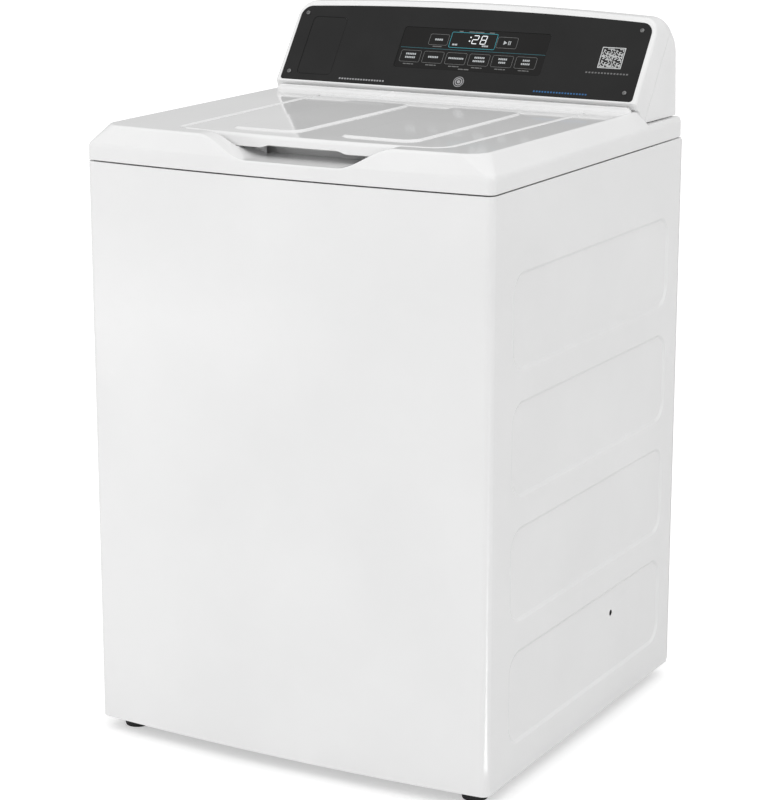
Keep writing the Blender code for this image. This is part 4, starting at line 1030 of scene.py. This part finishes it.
def build_display_print():
    keys = []
    labels = []
    subs = []
    first, last, wide = -0.109, 0.1375, 0.0372
    pitch = (last - wide - first) / 5
    for index, rows in enumerate(((6, 6), (6,), (9,), (6, 7), (5, 4), (4, 5))):
        x0 = first + index * pitch
        middle = x0 + wide / 2
        keys.append(frame_line(x0, 0.046, x0 + wide, 0.0675, 0.0006, 0.0030))
        for row, letters in enumerate(rows):
            v = 0.0556 if len(rows) == 1 else 0.0592 - row * 0.0063
            half = 0.0015 * letters
            labels += dashes(middle - half, middle + half, v, 0.0032, [1] * letters)
        subs += dashes(middle - 0.0095, middle + 0.0095, 0.0415, 0.0016, [3, 4, 2], 0.0010)
    keys.append(frame_line(-0.065, 0.0795, -0.030, 0.0998, 0.0006, 0.0030))
    keys.append(frame_line(0.058, 0.0805, 0.0943, 0.1010, 0.0006, 0.0030))
    labels += dashes(-0.0545, -0.0405, 0.0880, 0.0034, [1, 1, 1, 1], 0.0010)
    labels.append([[(0.0700, 0.0868), (0.0762, 0.0906), (0.0700, 0.0944)]])
    labels.append(bar(0.0782, 0.0870, 0.0796, 0.0942))
    labels.append(bar(0.0812, 0.0870, 0.0826, 0.0942))
    labels += dashes(0.0330, 0.0440, 0.0808, 0.0030, [1, 1, 1], 0.0008)
    labels += dashes(-0.0210, -0.0120, 0.0808, 0.0030, [1, 1], 0.0008)
    for x0, x1, v, height, letters, gap in (
            (-0.0555, -0.0390, 0.0762, 0.0015, [5], 0.0010), (-0.0150, -0.0080, 0.1062, 0.0015, [2], 0.0010),
            (0.0030, 0.0300, 0.1062, 0.0015, [3, 5], 0.0010), (0.0400, 0.0490, 0.1062, 0.0015, [2], 0.0010),
            (0.0030, 0.0220, 0.0372, 0.0018, [2, 2], 0.0012)):
        subs += dashes(x0, x1, v, height, letters, gap)
    digits = digit_bars("2", 0.0127) + digit_bars("8", 0.0277)
    digits.append(bar(0.0072, 0.0890, 0.0094, 0.0912))
    digits.append(bar(0.0078, 0.0960, 0.0100, 0.0982))
    box = frame_line(-0.0270, 0.0765, 0.0565, 0.1055, 0.0007, 0.0025)
    group_piece("display_time_box", [box], ON_DISPLAY, LIT_TEAL)
    group_piece("display_rule", [bar(-0.1124, 0.0722, 0.1490, 0.0729)], ON_DISPLAY, PRINT_TEAL)
    group_piece("display_keys", keys, ON_DISPLAY, PRINT_GREY)
    group_piece("display_labels", labels, ON_DISPLAY, LABEL_WHITE)
    group_piece("display_small_print", subs, ON_DISPLAY, PRINT_GREY)
    group_piece("display_digits", digits, ON_DISPLAY, LIT_WHITE)


def build_fascia_print():
    left = dashes(-0.2090, -0.1245, 0.0060, 0.0027, [1] * 17, 0.0021)
    group_piece("fascia_print_left", left, ON_FASCIA, PRINT_WHITE)
    blue = dashes(0.1467, 0.2395, 0.0062, 0.0026, [1] * 19, 0.0020)
    group_piece("fascia_print_blue", blue, ON_FASCIA, PRINT_BLUE)
    small = dashes(0.2265, 0.2994, 0.0458, 0.0026, [1] * 14, 0.0022)
    group_piece("fascia_print_small", small, ON_FASCIA, PRINT_GREY)
    rings = []
    for radii in ((0.0093, 0.0083), (0.0066, 0.0048), (0.0030,)):
        rings.append([circle(radius, 40, 0.0115, 0.0150) for radius in radii])
    group_piece("fascia_ring_mark", rings, RAISED, PRINT_WHITE)


def build_patch():
    """A plain woven tile pattern in place of the printed code."""
    x0, v0, x1, v1 = 0.2440, 0.0560, 0.2840, 0.0935
    tiles = [frame_line(x0, v0, x1, v1, 0.0013, 0.0008)]
    count = 19
    step_x = (x1 - x0 - 0.0042) / count
    step_v = (v1 - v0 - 0.0042) / count
    for row in range(count):
        for column in range(count):
            if (row * row * 5 + column * column * 3 + row * column * 7 + row) % 11 < 6:
                x = x0 + 0.0021 + column * step_x
                v = v0 + 0.0021 + row * step_v
                tiles.append(bar(x, v, x + step_x * 0.86, v + step_v * 0.86))
    group_piece("fascia_tile_pattern", tiles, ON_FASCIA, PRINT_BRIGHT)


# Turned pieces

def turned_mesh(name, profile, place, steps=48):
    """Turns (radius, height) points about local Z; a point on the axis closes the end."""
    shape = bmesh.new()
    add_rows(shape, [at_height(circle(max(radius, 0.0000001), steps), height) for radius, height in profile],
             closed=True)
    return to_mesh(name, shape, merge=FINE, frame_matrix=place)


def soft_profile(points, radius, steps=5):
    flat = [Vector((r, h, 0)) for r, h in points]
    line = rounded_line(flat, [radius] * (len(points) - 2), steps)
    return [(max(p.x, 0.0), p.y) for p in line]


def wash_place():
    return Matrix.Translation((0, AXIS_Y, 0))


def thread_profile(root, crest, start, length, turns):
    """Side of a screw thread, drawn as close grooves."""
    return [(crest if k % 2 else root, start + length * k / (turns * 2)) for k in range(turns * 2 + 1)]


def build_screws():
    head = soft_profile([(0, -0.0010), (0.0030, -0.0010), (0.0037, 0.0003), (0.0034, 0.0012), (0.0, 0.0018)],
                        0.0006)
    slots = [((-0.0022, -0.0004, 0.0004), (0.0022, 0.0004, 0.004)),
             ((-0.0004, -0.0022, 0.0004), (0.0004, 0.0022, 0.004))]
    for side, x in (("left", -0.3075), ("right", 0.3023)):
        for row, v in (("top", 0.126), ("bottom", 0.0147)):
            turn = Matrix.Rotation(math.radians(35 + 900 * x), 4, "Z")
            name = f"fascia_screw_{row}_{side}"
            mesh = turned_mesh(name, head, Matrix(), 32)
            piece = add_piece(name + "_head", mesh, SCREW_BLACK, "casing", [name])
            for low, high in slots:
                cut(piece, box_mesh(low, high))
            piece.data.transform(fascia_place() @ Matrix.Translation((x, v, 0)) @ turn)
            polish(piece, 30, weighted=False)


def build_feet():
    pad = soft_profile([(0, 0.0), (0.0190, 0.0), (0.0200, 0.004), (0.0180, 0.0115), (0.0100, 0.0130),
                        (0.0, 0.0130)], 0.0012)
    for row, y in (("front", -0.295), ("back", 0.2944)):
        for side, x in (("left", -0.303), ("right", 0.303)):
            name = f"foot_{row}_{side}"
            place = Matrix.Translation((x, y, 0))
            shape = bmesh.new()
            shape.from_mesh(turned_mesh(name, pad, place))
            nut = prism([circle(0.0095, 6)], 0.0128, 0.0185, edge=0.0006)
            shape.from_mesh(to_mesh("nut", nut, frame_matrix=place))
            thread = [(0.0, 0.0184)] + thread_profile(0.0043, 0.0050, 0.0184, 0.055, 26) + [(0.0, 0.0744)]
            shape.from_mesh(turned_mesh("thread", thread, place, 24))
            mesh = to_mesh(name, shape, merge=FINE / 2)
            smooth_piece(name + "_leg", mesh, RUBBER, name, [name], 30)


def build_agitator():
    body = soft_profile([
        (0.0118, 0.676), (0.043, 0.676), (0.0405, 0.600), (0.046, 0.478), (0.070, 0.404), (0.116, 0.3595),
        (0.165, 0.3425), (0.170, 0.345), (0.165, 0.351), (0.120, 0.367), (0.075, 0.411), (0.052, 0.480),
        (0.046, 0.600), (0.050, 0.690), (0.0118, 0.690),
    ], 0.030, 6)
    shape = bmesh.new()
    shape.from_mesh(turned_mesh("agitator", body + body[:1], wash_place(), 72))
    for index in range(4):
        turn = Matrix.Rotation(math.pi / 2 * (index + 0.5), 4, "Z")
        fin = bmesh.new()
        rows = []
        for step in range(25):
            share = step / 24
            z = 0.3585 + share * 0.300
            reach = 0.152 * (1 - share) ** 1.6 + 0.052 * (1 - (1 - share) ** 1.6)
            reach += 0.022 * math.sin(math.pi * min(share * 1.15, 1.0))
            root = 0.040 if z > 0.48 else 0.040 + (0.48 - z) * 0.55
            lean = 0.010 * math.sin(math.pi * share)
            side = [(root, FIN_HALF), (reach - 0.002, FIN_HALF), (reach - 0.0006, FIN_HALF * 0.7)]
            row = [(x, lean - half, z) for x, half in side] + [(reach, lean, z)]
            rows.append(row + [(x, lean + half, z) for x, half in side[::-1]])
        add_tube(fin, rows)
        shape.from_mesh(to_mesh("fin", fin, frame_matrix=wash_place() @ turn))
    smooth_piece("agitator_post", to_mesh("agitator_post", shape), INNER_PLASTIC, "agitator", ["agitator"],
                 40)
    cap = soft_profile([(0.0, 0.735), (0.030, 0.734), (0.046, 0.718), (0.049, 0.6985), (0.049, 0.6905),
                        (0, 0.6905)], 0.006)
    mesh = turned_mesh("cap", cap, wash_place(), 64)
    piece = add_piece("agitator_cap_cover", mesh, INNER_PLASTIC, "agitator", ["agitator_cap"])
    for index in range(10):
        turn = Matrix.Rotation(math.pi / 5 * index, 4, "Z")
        cut(piece, box_mesh((0.0478, -0.003, 0.689), (0.06, 0.003, 0.712), 0.0008), wash_place() @ turn)
    polish(piece, 40, weighted=False)


def build_basket():
    """Perforated drum: every other cell of the wall carries one small drain hole, none in the top and bottom
    rows.
    """
    radius = 0.262
    low, high = 0.338, 0.785
    around, rows_up = 54, 11
    shape = bmesh.new()
    step_z = (high - low) / rows_up
    for row in range(rows_up):
        for column in range(around):
            mid_z = low + (row + 0.5) * step_z
            mid_turn = 2 * math.pi * (column + 0.5) / around
            half_turn = math.pi / around
            size = HOLE_RADIUS if (row + column) % 2 and 0 < row < rows_up - 1 else 0.0
            square, hole = [], []
            for step in range(12):
                angle = 2 * math.pi * (step + 0.5) / 12
                across, up = math.cos(angle), math.sin(angle)
                reach = max(abs(across), abs(up))
                turn = mid_turn + across / reach * half_turn
                high_z = mid_z + up / reach * step_z / 2
                square.append((radius * math.cos(turn), radius * math.sin(turn), high_z))
                turn = mid_turn + across * size / radius
                hole.append((radius * math.cos(turn), radius * math.sin(turn), mid_z + up * size))
            if size:
                add_rows(shape, [square, hole], closed=True)
            else:
                add_polygon(shape, square)
    bottom = soft_profile([(radius, low), (radius, 0.3300), (0.250, 0.3185), (0.060, 0.3185), (0.046, 0.3385),
                           (0.0186, 0.3385)], 0.010)
    add_rows(shape, [at_height(circle(r, around * 2), z) for r, z in bottom], closed=True)
    mesh = to_mesh("basket_drum", shape, frame_matrix=wash_place())
    piece = add_piece("basket_drum", mesh, STAINLESS, "basket", ["basket"])
    thicken(piece, 0.0008)
    polish(piece, 50, weighted=False)
    band = soft_profile([(0.237, 0.787), (0.2625, 0.787), (0.2633, 0.8075), (0.2590, 0.8115), (0.2395, 0.8115),
                         (0.2353, 0.8080), (0.2353, 0.789), (0.237, 0.787)], 0.0025)
    smooth_piece("balance_ring_cover", turned_mesh("ring", band, wash_place(), 108), GREY_PLASTIC, "basket",
                 ["balance_ring"], 40)


# Rear and casing trim

def build_rear():
    places = [(x, z) for x in (-0.330, 0.330) for z in (0.06, 0.30, 0.54, 0.78)]
    places += [(x, z) for z in (0.895, 0.036) for x in (-0.11, 0.11)]
    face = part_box("rear_panel")[1][1]
    facing = Matrix.Rotation(math.radians(-90), 4, "X")
    washer = soft_profile([(0, 0.0), (0.0062, 0.0), (0.0062, 0.0010), (0.0, 0.0010)], 0.0003)
    shape = bmesh.new()
    for x, z in places:
        turn = Matrix.Rotation(math.radians(40 * x + 70 * z), 4, "Y")
        place = Matrix.Translation((x, face, z)) @ turn @ facing
        shape.from_mesh(turned_mesh("washer", washer, place, 24))
        head = prism([circle(0.0040, 6)], 0.0010, 0.0040, edge=0.0005)
        shape.from_mesh(to_mesh("head", head, frame_matrix=place))
    mesh = to_mesh("rear_screws", shape, merge=FINE / 2)
    smooth_piece("rear_screws", mesh, ZINC, "casing", (), 30)

    sleeve = [(0.0092, 0.3190), (0.0118, 0.3190)] + thread_profile(0.0121, 0.0132, 0.3195, 0.0295, 11)
    sleeve += [(0.0122, 0.3495), (0.0092, 0.3495), (0.0092, 0.3190)]
    strainer = soft_profile([(0, 0.300), (0.0090, 0.300), (0.0090, 0.330), (0.0, 0.330)], 0.0004)
    coil = soft_profile([(0, 0.262), (0.0125, 0.262), (0.0125, 0.290), (0, 0.290)], 0.0015)
    shape = bmesh.new()
    for x in (0.150, 0.200):
        place = Matrix.Translation((x, 0, 0.840)) @ facing
        for profile, steps in ((sleeve, 40), (strainer, 24), (coil, 32)):
            shape.from_mesh(turned_mesh("inlet", profile, place, steps))
    shape.from_mesh(box_mesh((0.1302, 0.2922, 0.8222), (0.2198, 0.3178, 0.8578), 0.002))
    mesh = to_mesh("inlet_valve", shape, merge=FINE / 2)
    smooth_piece("inlet_valve", mesh, GREY_PLASTIC, "casing", ["water_valve"], 40)


def dress_cad_nodes():
    looks = {
        ENAMEL: ["rear_panel"],
        INNER_PLASTIC: ["lid_liner"],
        GREY_PLASTIC: ["outer_tub", "tub_cover", "pump_body", "pump_impeller", "drain_port", "lid_lock_housing",
                       "lid_strike"],
        RUBBER: ["drive_belt", "tub_seal", "fill_nozzle", "cord_bushing"],
        STAINLESS: ["spin_tube", "agitator_shaft", "lock_bolt", "lid_hinge_pin_left", "lid_hinge_pin_right",
                    "upper_bearing", "lower_bearing", "motor_pulley"],
        ZINC: ["base_frame"],
        CAST: ["gearcase", "drive_motor", "drive_pulley"],
        BOARD: ["control_board"],
    }
    for corner in ("front_left", "front_right", "back_left", "back_right"):
        for stem in ("corner_bracket_", "suspension_rod_", "suspension_spring_"):
            looks[ZINC].append(stem + corner)
    for material, names in looks.items():
        for name in names:
            for slot in NODES[name].material_slots:
                slot.material = material


# Stage

def add_lobe(tree, direction, start, end, strength):
    """A soft bright patch of sky round one direction, as a 0..strength value."""
    where = tree.nodes.new("ShaderNodeTexCoord")
    facing = node(tree, "ShaderNodeVectorMath", operation="DOT_PRODUCT")
    facing.inputs[1].default_value = Vector(direction).normalized()
    limits = {"From Min": start, "From Max": end, "To Max": strength}
    fade = node(tree, "ShaderNodeMapRange", interpolation_type="SMOOTHSTEP", **limits)
    tree.links.new(where.outputs["Generated"], facing.inputs[0])
    tree.links.new(facing.outputs["Value"], fade.inputs["Value"])
    return fade.outputs["Result"]


def build_world():
    """Studio dome: the sum of the DOME patches on white."""
    world = bpy.data.worlds.new("studio")
    world.use_nodes = True
    tree = world.node_tree
    total = add_lobe(tree, *DOME[0])
    for patch in DOME[1:]:
        add = node(tree, "ShaderNodeMath", operation="ADD")
        tree.links.new(total, add.inputs[0])
        tree.links.new(add_lobe(tree, *patch), add.inputs[1])
        total = add.outputs["Value"]
    back = tree.nodes["Background"]
    back.inputs["Color"].default_value = (1, 1, 1, 1)
    tree.links.new(total, back.inputs["Strength"])
    bpy.context.scene.world = world


def build_floor():
    shape = bmesh.new()
    bmesh.ops.create_grid(shape, x_segments=1, y_segments=1, size=14)
    mesh = as_mesh("floor", shape)
    shader = principled(FLOOR_WHITE)
    shader.inputs["Emission Color"].default_value = (1, 1, 1, 1)
    tree = FLOOR_WHITE.node_tree
    seen = tree.nodes.new("ShaderNodeLightPath")
    glow = node(tree, "ShaderNodeMath", operation="MULTIPLY")
    glow.inputs[1].default_value = FLOOR_GLOW
    tree.links.new(seen.outputs["Is Camera Ray"], glow.inputs[0])
    tree.links.new(glow.outputs["Value"], shader.inputs["Emission Strength"])
    mesh.materials.append(FLOOR_WHITE)
    floor = new_object("floor", mesh)
    floor.location = (0, 0, -0.0004)


def build_light():
    for name, place, turns, size, power, mirrored in LAMPS:
        light = bpy.data.lights.new(name, "AREA")
        light.shape = "RECTANGLE"
        light.size, light.size_y = size
        light.energy = power
        lamp = new_object(name, light)
        lamp.location = place
        lamp.rotation_euler = [math.radians(turn) for turn in turns]
        lamp.visible_camera = False
        lamp.visible_glossy = mirrored
        lamp.visible_diffuse = not mirrored


def build_camera():
    camera = bpy.data.cameras.new("camera")
    camera.sensor_width = 36
    camera.lens = CAMERA_LENS
    camera.clip_start = 0.1
    camera.clip_end = 60
    viewer = new_object("camera", camera)
    viewer.location = CAMERA_PLACE
    viewer.rotation_euler = [math.radians(turn) for turn in CAMERA_TURN]
    bpy.context.scene.camera = viewer
    bpy.context.scene.view_settings.view_transform = "Standard"


def build_stage():
    build_world()
    build_floor()
    build_light()
    build_camera()


def main():
    build_stage()
    build_cabinet()
    build_top_cover()
    build_lid()
    build_curb()
    build_console()
    build_fascia()
    build_display_print()
    build_fascia_print()
    build_patch()
    build_screws()
    build_feet()
    build_agitator()
    build_basket()
    build_rear()
    dress_cad_nodes()


main()
bpy.context.view_layer.update()
